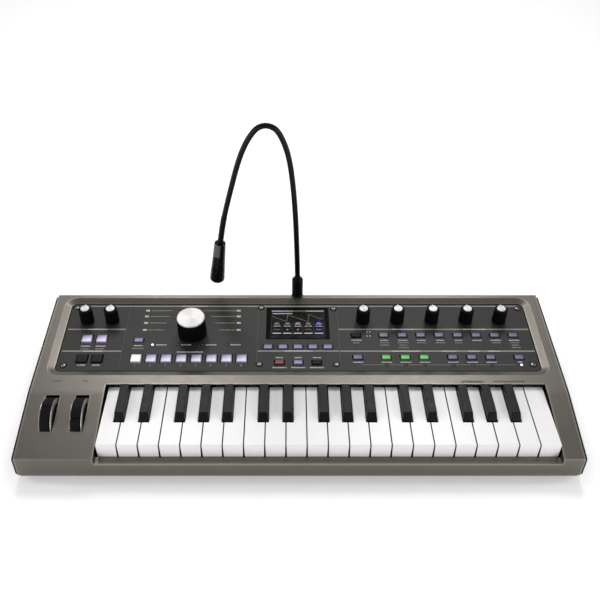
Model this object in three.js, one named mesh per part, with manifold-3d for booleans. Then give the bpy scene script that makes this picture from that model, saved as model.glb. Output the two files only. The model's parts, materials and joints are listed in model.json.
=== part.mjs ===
// A compact 37-key synthesizer with a gooseneck microphone.
//
// Millimetres. +X is the player's right, +Y is away from the player, +Z is up. z = 0 is the
// table, x = 0 is the middle of the case, and y = 0 is the middle of the whole depth.
// Depths along the case are measured from its front face, and depthY() turns them into y.
// The control panel has a frame of its own: its x is the case's x, its y runs up the slope
// from the bend in the cheeks, and its z = 0 is the upper face of the panel plate.

import * as THREE from 'three';
import { mergeVertices } from 'three/addons/utils/BufferGeometryUtils.js';
import Module from 'manifold-3d';

const wasm = await Module();
wasm.setup();

// ---------------------------------------------------------------- driving dimensions

const GAP = 0.3; // between pieces that meet

// Case
const CASE_WIDTH = 555;
const CASE_DEPTH = 222;
const FEET = { height: 4, radius: 7, x: 250, depths: [20, 203] };
const TRAY = { floorTop: 6.3, rim: 1.8, rimTop: 13 }; // the bottom case inside
const SKIRT_Z = 8; // lower edge of the top case
const CHEEK_FRONT_Z = 32;
const BEND = { depth: 77, z: 45.7 }; // where the steep front of a cheek meets the panel slope
const REAR_Z = 56.5;
const WALL = 2.5;
const SIDE_WALL = 3;
const PANEL_SLOPE = Math.atan2(REAR_Z - BEND.z, CASE_DEPTH - BEND.depth);

// Dish that holds the control panel
const DISH_DEPTH = 3;
const DISH_WALL = 8.5; // width of the sloped wall round the plate
const PLATE = { halfWidth: 256.8, front: 31.1, rear: 131.7, corner: 5, thickness: 1.6 };
const LEDGE = { sides: 8, ends: 6 }; // how far the case reaches under the plate
const PANEL_FRAME_REACH = { sides: 9, ends: 8 }; // the case's thickened frame round the plate

// Keys
const WHITE_COUNT = 22;
const WHITE_PITCH = 20.51;
const KEY_GAP = 1;
const KEYBOARD_CENTRE_X = 28.2;
const KEY_FRONT = 10;
const KEY_TOP_Z = 41;
const KEY_LIP_Z = 24.1; // lower edge of a white key's front
const KEY_LIP_THICKNESS = 2.4;
const WHITE_REAR = 88.5;
const KEY_PLATE = 4; // thickness of a white key's top
const BLACK_WIDTH = 10.2;
const BLACK_FRONT = 40.6;
const BLACK_SLOPE = 5.8; // run of the sloped front of a black key
const BLACK_HEIGHT = 7; // above the white keys
const BLACK_STEP = 0.6; // upright part of a black key's front, above the white keys
const BLACK_REAR = 86.4;
// Notes that carry a black key to their right, and that key's offset from the line between.
const BLACK_OFFSETS = { C: -2.1, D: 2.1, F: -3.2, G: 0, A: 3.2 };
const NOTES = ['C', 'D', 'E', 'F', 'G', 'A', 'B'];
const PIVOT = { depth: 112, z: 27, radius: 4 };
const ARM = { bottom: 23.5, top: 30.5, whiteWidth: 8, blackWidth: 5 };

// Key well
const WELL = { left: -199.1, right: 255, railDepth: 8.6, railZ: 25, rear: 87, wallBottom: 18 };

// Tray that carries the keys
const KEYBED_FRAME = { bottom: 10, top: 13, front: 12, rear: 120, railTop: 33.2, railReach: 5 };
const STOP_RAIL = { front: 15, rear: 24, height: 2 };
const KEYBED_POSTS = { x: [-180, 27, 234], depths: [30, 100], halfWidth: 4 };

// Wheels
const WHEEL = {
  radius: 23, width: 12.4, shoulder: 1.2, depth: 52, z: 30, stubRadius: 2.5, stubReach: 4.8,
};
const WHEEL_SLOT = { width: 13.6, front: 31, rear: 72.9 };
const WHEEL_BEARING = { gap: 1.5, width: 4, halfDepth: 8, height: 6 };
const WHEEL_NOTCH = { radius: 2.2, rise: 1.4 }; // the groove across a wheel's tread
const PITCH_WHEEL_X = -250.8;
const MOD_WHEEL_X = -220.5;
const PITCH_GROOVE = 5; // degrees towards the player from the top of the wheel
const MOD_GROOVE = 38;

// Knobs: x and distance up the slope on the panel
const SMALL_KNOB = { radius: 7.6, topRadius: 7.4, capRadius: 5.2, chamfer: 1.8, height: 20 };
const DIAL = { radius: 15.8, topRadius: 15.2, capRadius: 14.8, chamfer: 1.8, height: 25 };
const SHAFT_RADIUS = 3;
const POT_SIZE = [10, 11];
const POT_TOP = -3.5; // upper face of a potentiometer
const KNOB_LIFT = 0.6; // clearance between a knob and the plate
const KNOB_ROW = 105.6;
const LEFT_KNOBS_X = [-235.7, -207.6];
const RIGHT_KNOBS_X = [73, 111.3, 149.9, 188, 225.4];
const DIAL_PLACE = [-116.4, 86.5];

// Buttons: [x, distance up the slope], grouped by the mat that carries them
const SQUARE_CAP = [11.2, 10.8];
const SMALL_CAP = [9.6, 5.8];
const OCTAVE_ROW = 48.2;
const PROGRAM_ROW = 48.2;
const PROGRAM_FIRST_X = -173.7;
const PROGRAM_PITCH = 16.17;
const RIGHT_UPPER_ROW = 82.7;
const RIGHT_LOWER_ROW = 49.9;
const RIGHT_PITCH = 20.34;
const CAP_HEIGHT = 1.5;
const CAP_CLEARANCE = 1.1;
const WEB = { top: -2.3, thickness: 1.6 }; // the rubber sheet that joins the caps of a mat
const PEG = { side: 3, bottom: -8 }; // the contact pegs under the caps

// Display
const WINDOW = { halfWidth: 34.9, front: 77.3, rear: 126.5 };

// Circuit board, parallel to the panel, and the sockets on it
const BOARD = { top: -9.4, thickness: 1.6, halfWidth: 249, front: 36.5, rear: 128.5 };
const SOCKET_Z = 24;
const SCREEN_HALF_WIDTH = 33;
const JACK_BOARD = { left: -225, right: 215, depth: 203, thickness: 1.6, bottom: 12, top: 42 };
const SOCKETS = [
  { kind: 'phone', x: 205 },
  { kind: 'phone', x: 170 },
  { kind: 'phone', x: 140 },
  { kind: 'phone', x: 105 },
  { kind: 'mini', x: 75 },
  { kind: 'mini', x: 55 },
  { kind: 'din', x: -35 },
  { kind: 'din', x: -65 },
  { kind: 'power', x: -215 },
];
const SOCKET_SIZES = {
  phone: { body: 15, barrel: 5.8, reach: 224.5, bore: 3.25, boreDepth: 208 },
  mini: { body: 11, barrel: 3.9, reach: 223.4, bore: 1.8, boreDepth: 210 },
  din: { body: 20, barrel: 8.2, reach: 222.3, bore: 6.6, boreDepth: 221.3 },
  power: { body: 14, barrel: 5.2, reach: 222.3, bore: 3.2, boreDepth: 212 },
};
const USB = { x: -100, width: 9, height: 3.4, slotWidth: 8.2, slotHeight: 2.4 };

// Microphone
const MIC_DEPTH = 220.1; // from the front face of the case
const BOSS = { radius: 7, bottom: 36, top: 56.6 };
const PLUG = { radius: 6.2, bottom: 58.4, shoulder: 80.5, top: 83.6, neck: 3.6, pinBottom: 43 };
const NECK_RADIUS = 3;
const NECK_SIDES = 10;
const NECK_STEPS = 16;
const NECK_JOINT_GAP = 1.9; // each side of the bend joint, and above the plug
const BEND_AT = 0.555; // the bend joint, as a share of the neck's length
// Centre line of the neck, as [x, z], from the plug to the microphone
const NECK_POINTS = [
  [0, 83.9], [-0.7, 112], [-2.7, 163], [-5.5, 202], [-9.3, 232], [-14.6, 252], [-22, 266.5],
  [-31.5, 272], [-41, 269], [-49.3, 259], [-56.8, 244], [-63.3, 225], [-69.5, 202.4],
  [-75.2, 180.5], [-80.4, 158], [-84.9, 131.8],
];
const HEAD = { x: -85.1, z: 131.5, length: 53, topRadius: 6.6, radius: 8.2, tilt: 6.9 };

// ---------------------------------------------------------------- materials

const finish = (color, roughness, metalness = 0) =>
  new THREE.MeshStandardMaterial({ color, roughness, metalness });

const CASE_GREY = finish(0x6b6761, 0.42, 0.55);
const PLATE_GREY = finish(0x403e3e, 0.5, 0.3);
const BLACK_PLASTIC = finish(0x151516, 0.55);
const UNDERSIDE = finish(0x202022, 0.7);
const KEY_WHITE = finish(0xf2f0ec, 0.35);
const KEY_BLACK = finish(0x2c2c2e, 0.6);
const KEYBED = finish(0x3a3b3d, 0.7);
const WINDOW_DARK = finish(0x08080c, 0.1);
const CAP_LAVENDER = finish(0x9687c8, 0.45);
const BOARD_GREEN = finish(0x1d4a31, 0.6, 0.1);
const WHEEL_RUBBER = finish(0x19191c, 0.7);
const MIC_BLACK = finish(0x1b1b1c, 0.5, 0.2);

// ---------------------------------------------------------------- geometry helpers

const WHOLE_DEPTH = MIC_DEPTH + HEAD.radius;
const depthY = (depth) => depth - WHOLE_DEPTH / 2;
const degrees = (angle) => THREE.MathUtils.degToRad(angle);

// Height of the case's upper surface at a depth from the front face.
function roofZ(depth) {
  if (depth < BEND.depth) {
    return CHEEK_FRONT_Z + ((BEND.z - CHEEK_FRONT_Z) * depth) / BEND.depth;
  }
  return BEND.z + (depth - BEND.depth) * Math.tan(PANEL_SLOPE);
}

// From the panel's frame to the case's frame.
const PANEL_TO_CASE = new THREE.Matrix4()
  .makeTranslation(0, depthY(BEND.depth), BEND.z)
  .multiply(new THREE.Matrix4().makeRotationX(PANEL_SLOPE))
  .multiply(new THREE.Matrix4().makeTranslation(0, 0, -DISH_DEPTH));

const inPanel = (geometry) => geometry.applyMatrix4(PANEL_TO_CASE);

function box(x0, x1, y0, y1, z0, z1) {
  const geometry = new THREE.BoxGeometry(x1 - x0, y1 - y0, z1 - z0);
  return geometry.translate((x0 + x1) / 2, (y0 + y1) / 2, (z0 + z1) / 2);
}

// A box in the case's frame with its y range given as depths from the front face.
const caseBox = (x0, x1, d0, d1, z0, z1) => box(x0, x1, depthY(d0), depthY(d1), z0, z1);

// A plate in the panel's frame, centred on a place.
const padBox = ([x, s], [width, length], z0, z1) =>
  box(x - width / 2, x + width / 2, s - length / 2, s + length / 2, z0, z1);

// Extrudes an outline of [depth, z] points along X.
function alongX(outline, x0, x1) {
  const shape = new THREE.Shape(outline.map(([depth, z]) => new THREE.Vector2(depthY(depth), z)));
  const geometry = new THREE.ExtrudeGeometry(shape, { depth: x1 - x0, bevelEnabled: false });
  const turn = new THREE.Matrix4().makeBasis(
    new THREE.Vector3(0, 1, 0),
    new THREE.Vector3(0, 0, 1),
    new THREE.Vector3(1, 0, 0),
  );
  return geometry.applyMatrix4(turn).translate(x0, 0, 0);
}

const cylinderX = (radius, x0, x1, depth, z, sides = 32) =>
  new THREE.CylinderGeometry(radius, radius, x1 - x0, sides)
    .rotateZ(Math.PI / 2)
    .translate((x0 + x1) / 2, depthY(depth), z);

const cylinderY = (radius, depth0, depth1, x, z, sides = 16) =>
  new THREE.CylinderGeometry(radius, radius, depth1 - depth0, sides)
    .translate(x, (depthY(depth0) + depthY(depth1)) / 2, z);

const cylinderZ = (radius, z0, z1, x, y, sides = 24) =>
  new THREE.CylinderGeometry(radius, radius, z1 - z0, sides)
    .rotateX(Math.PI / 2)
    .translate(x, y, (z0 + z1) / 2);

// Turns an outline of [radius, z] points about the Z axis.
function turned(outline, sides = 20) {
  const points = outline.map(([radius, z]) => new THREE.Vector2(radius, z));
  return new THREE.LatheGeometry(points, sides).rotateX(Math.PI / 2);
}

function roundedRectangle(x0, x1, y0, y1, radius) {
  const shape = new THREE.Shape();
  shape.moveTo(x0 + radius, y0);
  shape.lineTo(x1 - radius, y0);
  shape.absarc(x1 - radius, y0 + radius, radius, -Math.PI / 2, 0);
  shape.absarc(x1 - radius, y1 - radius, radius, 0, Math.PI / 2);
  shape.absarc(x0 + radius, y1 - radius, radius, Math.PI / 2, Math.PI);
  shape.absarc(x0 + radius, y0 + radius, radius, Math.PI, 1.5 * Math.PI);
  return shape;
}

// Outline of the control panel's plate, grown by a margin.
const plateOutline = (margin) => roundedRectangle(
  -PLATE.halfWidth - margin, PLATE.halfWidth + margin,
  PLATE.front - margin, PLATE.rear + margin, PLATE.corner + margin,
);

// Turns a closed geometry into a solid that can be joined and cut.
function solid(geometry) {
  for (const name of Object.keys(geometry.attributes)) {
    if (name !== 'position') geometry.deleteAttribute(name);
  }
  const merged = mergeVertices(geometry, 1e-4);
  const corners = merged.index.array;
  const kept = [];
  for (let i = 0; i < corners.length; i += 3) {
    const [a, b, c] = corners.slice(i, i + 3);
    if (a !== b && b !== c && c !== a) kept.push(a, b, c);
  }
  return new wasm.Manifold(new wasm.Mesh({
    numProp: 3,
    vertProperties: new Float32Array(merged.attributes.position.array),
    triVerts: new Uint32Array(kept),
  }));
}

const join = (geometries) => geometries.map(solid).reduce((whole, piece) => whole.add(piece));
const cut = (body, geometries) =>
  geometries.map(solid).reduce((rest, piece) => rest.subtract(piece), body);

function meshFrom(name, shape, material) {
  let geometry = shape;
  if (!shape.isBufferGeometry) {
    const { vertProperties, triVerts } = shape.getMesh();
    geometry = new THREE.BufferGeometry();
    geometry.setAttribute('position', new THREE.BufferAttribute(vertProperties, 3));
    geometry.setIndex(new THREE.BufferAttribute(triVerts, 1));
    geometry.computeVertexNormals();
  }
  const mesh = new THREE.Mesh(geometry, material);
  mesh.name = name;
  return mesh;
}

// ---------------------------------------------------------------- case

function topCase() {
  const halfWidth = CASE_WIDTH / 2;
  const skin = solid(alongX([
    [0, SKIRT_Z], [CASE_DEPTH, SKIRT_Z], [CASE_DEPTH, REAR_Z], [BEND.depth, BEND.z], [0, CHEEK_FRONT_Z],
  ], -halfWidth, halfWidth));
  const inside = solid(alongX([
    [WALL, SKIRT_Z - 1],
    [CASE_DEPTH - WALL, SKIRT_Z - 1],
    [CASE_DEPTH - WALL, roofZ(CASE_DEPTH - WALL) - WALL],
    [BEND.depth, BEND.z - WALL],
    [WALL, roofZ(WALL) - WALL],
  ], -halfWidth + SIDE_WALL, halfWidth - SIDE_WALL));

  const ledgeBottom = PLATE.thickness + 2 * GAP + WALL;
  const panelFrame = inPanel(box(
    -PLATE.halfWidth - PANEL_FRAME_REACH.sides, PLATE.halfWidth + PANEL_FRAME_REACH.sides,
    PLATE.front - PANEL_FRAME_REACH.ends, PLATE.rear + PANEL_FRAME_REACH.ends,
    -ledgeBottom, DISH_DEPTH - 1,
  ));
  const wellWalls = [[WELL.left - WALL, WELL.left], [WELL.right, WELL.right + WALL]].map(
    ([x0, x1]) => caseBox(x0, x1, WALL - 0.5, WELL.rear, WELL.wallBottom, REAR_Z),
  );
  const rail = caseBox(
    WELL.left - 1, WELL.right + 1, 1, WELL.railDepth, WELL.railZ - WALL, WELL.railZ,
  );
  const stiffeners = join([panelFrame, ...wellWalls, rail]).intersect(skin);
  const boss = solid(cylinderZ(BOSS.radius, BOSS.bottom, BOSS.top, 0, depthY(MIC_DEPTH)));

  const seatOutline = plateOutline(GAP);
  const dish = new THREE.ExtrudeGeometry(seatOutline, {
    depth: 2 * DISH_DEPTH, curveSegments: 3, bevelSegments: 1,
    bevelThickness: DISH_DEPTH, bevelSize: DISH_WALL,
  }).translate(0, 0, DISH_DEPTH);
  const plateSeat = new THREE.ExtrudeGeometry(seatOutline, {
    depth: PLATE.thickness + GAP + 1, curveSegments: 3, bevelEnabled: false,
  }).translate(0, 0, -PLATE.thickness - GAP);
  const opening = box(
    -PLATE.halfWidth + LEDGE.sides, PLATE.halfWidth - LEDGE.sides,
    PLATE.front + LEDGE.ends, PLATE.rear - LEDGE.ends, -30, 1,
  );
  const well = [
    caseBox(WELL.left, WELL.right, WELL.railDepth, WELL.rear, 10, REAR_Z + 20),
    caseBox(WELL.left, WELL.right, -1, WELL.railDepth + 1, WELL.railZ, REAR_Z + 20),
  ];
  // Each slot is relieved on its inside to the round of the wheel.
  const wheelSlots = [PITCH_WHEEL_X, MOD_WHEEL_X].flatMap((x) => {
    const [x0, x1] = [x - WHEEL_SLOT.width / 2, x + WHEEL_SLOT.width / 2];
    return [
      caseBox(x0, x1, WHEEL_SLOT.front, WHEEL_SLOT.rear, 25, REAR_Z),
      cylinderX(WHEEL.radius + 2 * GAP, x0, x1, WHEEL.depth, WHEEL.z, 48),
    ];
  });
  const socketHoles = SOCKETS.map(({ kind, x }) => cylinderY(
    SOCKET_SIZES[kind].barrel + GAP + 0.1, CASE_DEPTH - 5, CASE_DEPTH + 5, x, SOCKET_Z,
  ));
  const usbHole = caseBox(
    USB.x - USB.width / 2 - GAP, USB.x + USB.width / 2 + GAP,
    CASE_DEPTH - 5, CASE_DEPTH + 5,
    SOCKET_Z - USB.height / 2 - GAP, SOCKET_Z + USB.height / 2 + GAP,
  );
  const micBore = cylinderZ(
    SHAFT_RADIUS + GAP, PLUG.pinBottom - 1, BOSS.top + 5, 0, depthY(MIC_DEPTH),
  );

  const shell = skin.subtract(inside).add(stiffeners).add(boss);
  return cut(shell, [
    inPanel(dish), inPanel(plateSeat), inPanel(opening),
    ...well, ...wheelSlots, ...socketHoles, usbHole, micBore,
  ]);
}

function bottomCase() {
  const halfWidth = CASE_WIDTH / 2 - SIDE_WALL - GAP;
  const front = WALL + GAP;
  const rear = CASE_DEPTH - WALL - GAP;
  const { floorTop, rim, rimTop } = TRAY;
  const tray = solid(caseBox(-halfWidth, halfWidth, front, rear, FEET.height, rimTop)).subtract(
    solid(caseBox(
      -halfWidth + rim, halfWidth - rim, front + rim, rear - rim, floorTop, rimTop + 5,
    )),
  );

  const feet = [-FEET.x, FEET.x].flatMap((x) => FEET.depths.map(
    (depth) => cylinderZ(FEET.radius, 0, FEET.height + 0.5, x, depthY(depth)),
  ));
  const { halfWidth: postHalf } = KEYBED_POSTS;
  const keybedPosts = KEYBED_POSTS.x.flatMap((x) => KEYBED_POSTS.depths.map(
    (depth) => caseBox(
      x - postHalf, x + postHalf, depth - postHalf, depth + postHalf,
      floorTop - 0.5, KEYBED_FRAME.bottom - GAP,
    ),
  ));
  const bearingStart = WHEEL.width / 2 + WHEEL_BEARING.gap;
  const bearingEnd = bearingStart + WHEEL_BEARING.width;
  const bearings = [
    [PITCH_WHEEL_X - bearingEnd, PITCH_WHEEL_X - bearingStart],
    [PITCH_WHEEL_X + bearingStart, MOD_WHEEL_X - bearingStart],
    [MOD_WHEEL_X + bearingStart, MOD_WHEEL_X + bearingEnd],
  ].map(([x0, x1]) => caseBox(
    x0, x1, WHEEL.depth - WHEEL_BEARING.halfDepth, WHEEL.depth + WHEEL_BEARING.halfDepth,
    floorTop - 0.5, WHEEL.z + WHEEL_BEARING.height,
  ));
  const axleBore = cylinderX(
    WHEEL.stubRadius + GAP, PITCH_WHEEL_X - 20, MOD_WHEEL_X + 20, WHEEL.depth, WHEEL.z, 24,
  );
  return cut(tray.add(join([...feet, ...keybedPosts, ...bearings])), [axleBore]);
}

// ---------------------------------------------------------------- keys

const KEYBOARD_LEFT = KEYBOARD_CENTRE_X - (WHITE_COUNT * WHITE_PITCH) / 2;
const noteOf = (index) => NOTES[index % NOTES.length];
const octaveOf = (index) => 1 + Math.floor(index / NOTES.length);

// Middle of the black key to the right of a white key, or null where there is none.
function blackCentre(index) {
  const offset = BLACK_OFFSETS[noteOf(index)];
  const isLast = index === WHITE_COUNT - 1;
  if (offset === undefined || index < 0 || isLast) return null;
  return KEYBOARD_LEFT + (index + 1) * WHITE_PITCH + offset;
}

const keyPivot = (x, width) =>
  cylinderX(PIVOT.radius, x - width / 2, x + width / 2, PIVOT.depth, PIVOT.z, 12);

function whiteKey(index) {
  const left = KEYBOARD_LEFT + index * WHITE_PITCH + KEY_GAP / 2;
  const right = left + WHITE_PITCH - KEY_GAP;
  const clearance = BLACK_WIDTH / 2 + KEY_GAP / 2;
  const blackLeft = index > 0 ? blackCentre(index - 1) : null;
  const blackRight = blackCentre(index);
  const tailLeft = blackLeft === null ? left : Math.max(left, blackLeft + clearance);
  const tailRight = blackRight === null ? right : Math.min(right, blackRight - clearance);
  const tailX = (tailLeft + tailRight) / 2;
  const notch = BLACK_FRONT - KEY_GAP;

  const head = caseBox(left, right, KEY_FRONT, notch, KEY_TOP_Z - KEY_PLATE, KEY_TOP_Z);
  const tail = caseBox(
    tailLeft, tailRight, notch - 1, WHITE_REAR, KEY_TOP_Z - KEY_PLATE, KEY_TOP_Z,
  );
  const lip = caseBox(left, right, KEY_FRONT, KEY_FRONT + KEY_LIP_THICKNESS, KEY_LIP_Z, KEY_TOP_Z - 1);
  const spine = alongX([
    [KEY_FRONT + 1, ARM.bottom + 1],
    [PIVOT.depth, ARM.bottom],
    [PIVOT.depth, ARM.top],
    [WHITE_REAR + 4, ARM.top],
    [WHITE_REAR - 1, KEY_TOP_Z - KEY_PLATE + 1],
    [KEY_FRONT + 1, KEY_TOP_Z - KEY_PLATE + 1],
  ], tailX - ARM.whiteWidth / 2, tailX + ARM.whiteWidth / 2);
  return join([head, tail, lip, spine, keyPivot(tailX, ARM.whiteWidth)]);
}

function blackKey(index) {
  const x = blackCentre(index);
  const top = KEY_TOP_Z + BLACK_HEIGHT;
  const base = KEY_TOP_Z - KEY_PLATE - 1;
  const cap = alongX([
    [BLACK_FRONT, base],
    [BLACK_REAR, base],
    [BLACK_REAR, top],
    [BLACK_FRONT + BLACK_SLOPE, top],
    [BLACK_FRONT, KEY_TOP_Z + BLACK_STEP],
  ], x - BLACK_WIDTH / 2, x + BLACK_WIDTH / 2);
  const spine = alongX([
    [BLACK_FRONT + 4, ARM.bottom + 4],
    [PIVOT.depth, ARM.bottom],
    [PIVOT.depth, ARM.top],
    [WHITE_REAR + 2, ARM.top],
    [BLACK_REAR - 1, base + 1],
    [BLACK_FRONT + 4, base + 1],
  ], x - ARM.blackWidth / 2, x + ARM.blackWidth / 2);
  return join([cap, spine, keyPivot(x, ARM.blackWidth)]);
}

// The tray that carries the keys, with a grooved rail at the rear that their ends turn in.
function keybedFrame() {
  const { bottom, top, front, rear, railTop, railReach } = KEYBED_FRAME;
  const left = KEYBOARD_LEFT - 0.5;
  const right = -left + 2 * KEYBOARD_CENTRE_X;
  const railFront = PIVOT.depth - railReach;
  const tray = caseBox(left, right, front, rear, bottom, top);
  const pivotRail = caseBox(left, right, railFront, rear, top - 0.5, railTop);
  const stopRail = caseBox(
    left, right, STOP_RAIL.front, STOP_RAIL.rear, top - 0.5, top + STOP_RAIL.height,
  );
  const groove = cylinderX(PIVOT.radius + GAP, left - 1, right + 1, PIVOT.depth, PIVOT.z, 20);
  const mouth = caseBox(
    left - 1, right + 1, railFront - 1, PIVOT.depth, PIVOT.z - PIVOT.radius - GAP,
    PIVOT.z + PIVOT.radius + GAP,
  );
  return cut(join([tray, pivotRail, stopRail]), [groove, mouth]);
}

// ---------------------------------------------------------------- wheels

function wheel(x, grooveAngle) {
  const half = WHEEL.width / 2;
  const { shoulder } = WHEEL;
  const disc = turned([
    [0, -half - WHEEL.stubReach], [WHEEL.stubRadius, -half - WHEEL.stubReach],
    [WHEEL.stubRadius, -half], [WHEEL.radius - shoulder, -half], [WHEEL.radius, -half + shoulder],
    [WHEEL.radius, half - shoulder], [WHEEL.radius - shoulder, half],
    [WHEEL.stubRadius, half], [WHEEL.stubRadius, half + WHEEL.stubReach],
    [0, half + WHEEL.stubReach],
  ], 36).rotateY(Math.PI / 2).translate(x, depthY(WHEEL.depth), WHEEL.z);
  const reach = WHEEL.radius + WHEEL_NOTCH.rise;
  const groove = cylinderX(
    WHEEL_NOTCH.radius, x - half - 1, x + half + 1,
    WHEEL.depth - reach * Math.sin(degrees(grooveAngle)),
    WHEEL.z + reach * Math.cos(degrees(grooveAngle)), 10,
  );
  return cut(solid(disc), [groove]);
}

// ---------------------------------------------------------------- control panel

const row = (first, pitch, count, s) =>
  Array.from({ length: count }, (_, i) => [first + pitch * i, s]);

// Each mat: its caps, and the strips of web that join them.
const MATS = {
  left_button_mat: {
    caps: [
      { places: [[-231.2, 77.3], [-215, 77.3]], size: SQUARE_CAP },
      { places: [[-231.5, OCTAVE_ROW], [-215.3, OCTAVE_ROW]], size: SQUARE_CAP },
      { places: [[-174.1, 75.1]], size: SMALL_CAP },
      { places: row(PROGRAM_FIRST_X, PROGRAM_PITCH, 8, PROGRAM_ROW), size: SQUARE_CAP },
    ],
    web: [[-239, -207, 41, 85], [-208, -181, 43, 53], [-182, -53, 40.5, 54.5], [-182, -166, 53, 80]],
  },
  display_button_mat: {
    caps: [
      { places: row(-32.5, 16.25, 5, 65.2), size: SMALL_CAP },
      { places: row(-20, 20, 3, 42.6), size: SMALL_CAP },
    ],
    web: [[-39, 39, 60.5, 70], [-27, 27, 38, 47.5], [-5, 5, 46, 62]],
  },
  right_button_mat: {
    caps: [
      { places: [[64.1, RIGHT_UPPER_ROW]], size: SMALL_CAP },
      { places: row(94.6, RIGHT_PITCH, 8, RIGHT_UPPER_ROW), size: SMALL_CAP },
      { places: [[64.1, RIGHT_LOWER_ROW]], size: SMALL_CAP },
      { places: row(94.6, RIGHT_PITCH, 3, RIGHT_LOWER_ROW), size: SMALL_CAP },
      { places: row(165.7, RIGHT_PITCH, 3, RIGHT_LOWER_ROW), size: SMALL_CAP },
      { places: [[237, RIGHT_LOWER_ROW]], size: SMALL_CAP },
    ],
    web: [[57, 244, 78, 87.5], [57, 244, 45.2, 54.6], [145, 155, 54, 79]],
  },
};

const capsOf = (mat) =>
  MATS[mat].caps.flatMap(({ places, size }) => places.map((place) => ({ place, size })));

function buttonMat(name) {
  const webBottom = WEB.top - WEB.thickness;
  const web = MATS[name].web.map(([x0, x1, s0, s1]) => box(x0, x1, s0, s1, webBottom, WEB.top));
  const caps = capsOf(name).map(({ place, size }) => padBox(place, size, WEB.top - 0.5, CAP_HEIGHT));
  const pegs = capsOf(name).map(({ place }) =>
    padBox(place, [PEG.side, PEG.side], PEG.bottom, webBottom + 0.5));
  return join([...web, ...caps, ...pegs]);
}

const KNOBS = [
  ...LEFT_KNOBS_X.map((x) => ({ place: [x, KNOB_ROW], size: SMALL_KNOB })),
  { place: DIAL_PLACE, size: DIAL },
  ...RIGHT_KNOBS_X.map((x) => ({ place: [x, KNOB_ROW], size: SMALL_KNOB })),
];
const KNOB_NAMES = [
  'left_knob_1', 'left_knob_2', 'selector_dial',
  'right_knob_1', 'right_knob_2', 'right_knob_3', 'right_knob_4', 'right_knob_5',
];

function controlPanel() {
  const plate = new THREE.ExtrudeGeometry(plateOutline(0), {
    depth: PLATE.thickness, curveSegments: 3, bevelEnabled: false,
  }).translate(0, 0, -PLATE.thickness);
  const capHoles = Object.keys(MATS).flatMap(capsOf).map(({ place, size }) =>
    padBox(place, size.map((side) => side + 2 * CAP_CLEARANCE), -5, 5));
  const shaftHoles = KNOBS.map(({ place: [x, s] }) =>
    cylinderZ(SHAFT_RADIUS + 2 * GAP, -5, 5, x, s, 12));
  const windowHole = box(
    -WINDOW.halfWidth - GAP, WINDOW.halfWidth + GAP, WINDOW.front - GAP, WINDOW.rear + GAP, -5, 5,
  );
  return cut(solid(plate), [...capHoles, ...shaftHoles, windowHole]);
}

const displayWindow = () => box(
  -WINDOW.halfWidth, WINDOW.halfWidth, WINDOW.front, WINDOW.rear, -PLATE.thickness, 0,
);

// A knob with its shaft, which passes through the plate to the top of its potentiometer.
function knob({ radius, topRadius, capRadius, chamfer, height }) {
  return turned([
    [0, POT_TOP + GAP], [SHAFT_RADIUS, POT_TOP + GAP], [SHAFT_RADIUS, KNOB_LIFT],
    [radius, KNOB_LIFT], [topRadius, height - chamfer], [capRadius, height], [0, height],
  ]);
}

// ---------------------------------------------------------------- circuit board and sockets

function mainBoard() {
  const boardBottom = BOARD.top - BOARD.thickness;
  const parts = [
    inPanel(box(-BOARD.halfWidth, BOARD.halfWidth, BOARD.front, BOARD.rear, boardBottom, BOARD.top)),
    inPanel(box(
      -SCREEN_HALF_WIDTH, SCREEN_HALF_WIDTH, WINDOW.front + 2, WINDOW.rear - 2,
      BOARD.top - 0.5, -PLATE.thickness - 0.8,
    )),
  ];
  for (const { place } of KNOBS) {
    parts.push(inPanel(padBox(place, POT_SIZE, BOARD.top - 0.5, POT_TOP)));
  }

  const wallFace = CASE_DEPTH - WALL - GAP;
  const jackBoardRear = JACK_BOARD.depth + JACK_BOARD.thickness;
  parts.push(caseBox(
    JACK_BOARD.left, JACK_BOARD.right, JACK_BOARD.depth, jackBoardRear,
    JACK_BOARD.bottom, JACK_BOARD.top,
  ));
  for (const { kind, x } of SOCKETS) {
    const { body, barrel, reach } = SOCKET_SIZES[kind];
    parts.push(caseBox(
      x - body / 2, x + body / 2, jackBoardRear - 0.6, wallFace,
      SOCKET_Z - body / 2, SOCKET_Z + body / 2,
    ));
    parts.push(cylinderY(barrel, wallFace - 1, reach, x, SOCKET_Z));
  }
  parts.push(caseBox(
    USB.x - USB.width / 2, USB.x + USB.width / 2, jackBoardRear - 0.6, CASE_DEPTH + 0.2,
    SOCKET_Z - USB.height / 2, SOCKET_Z + USB.height / 2,
  ));

  const bores = SOCKETS.map(({ kind, x }) => {
    const { bore, boreDepth, reach } = SOCKET_SIZES[kind];
    return cylinderY(bore, boreDepth, reach + 1, x, SOCKET_Z);
  });
  const usbSlot = caseBox(
    USB.x - USB.slotWidth / 2, USB.x + USB.slotWidth / 2, CASE_DEPTH - 6, CASE_DEPTH + 1,
    SOCKET_Z - USB.slotHeight / 2, SOCKET_Z + USB.slotHeight / 2,
  );
  const power = SOCKETS.find(({ kind }) => kind === 'power');
  const powerPin = solid(cylinderY(
    1, SOCKET_SIZES.power.boreDepth - 1, CASE_DEPTH - 1, power.x, SOCKET_Z, 8,
  ));
  return cut(join(parts), [...bores, usbSlot]).add(powerPin);
}

// ---------------------------------------------------------------- microphone

const neckCurve = new THREE.CatmullRomCurve3(
  NECK_POINTS.map(([x, z]) => new THREE.Vector3(x, depthY(MIC_DEPTH), z)),
);

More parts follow.
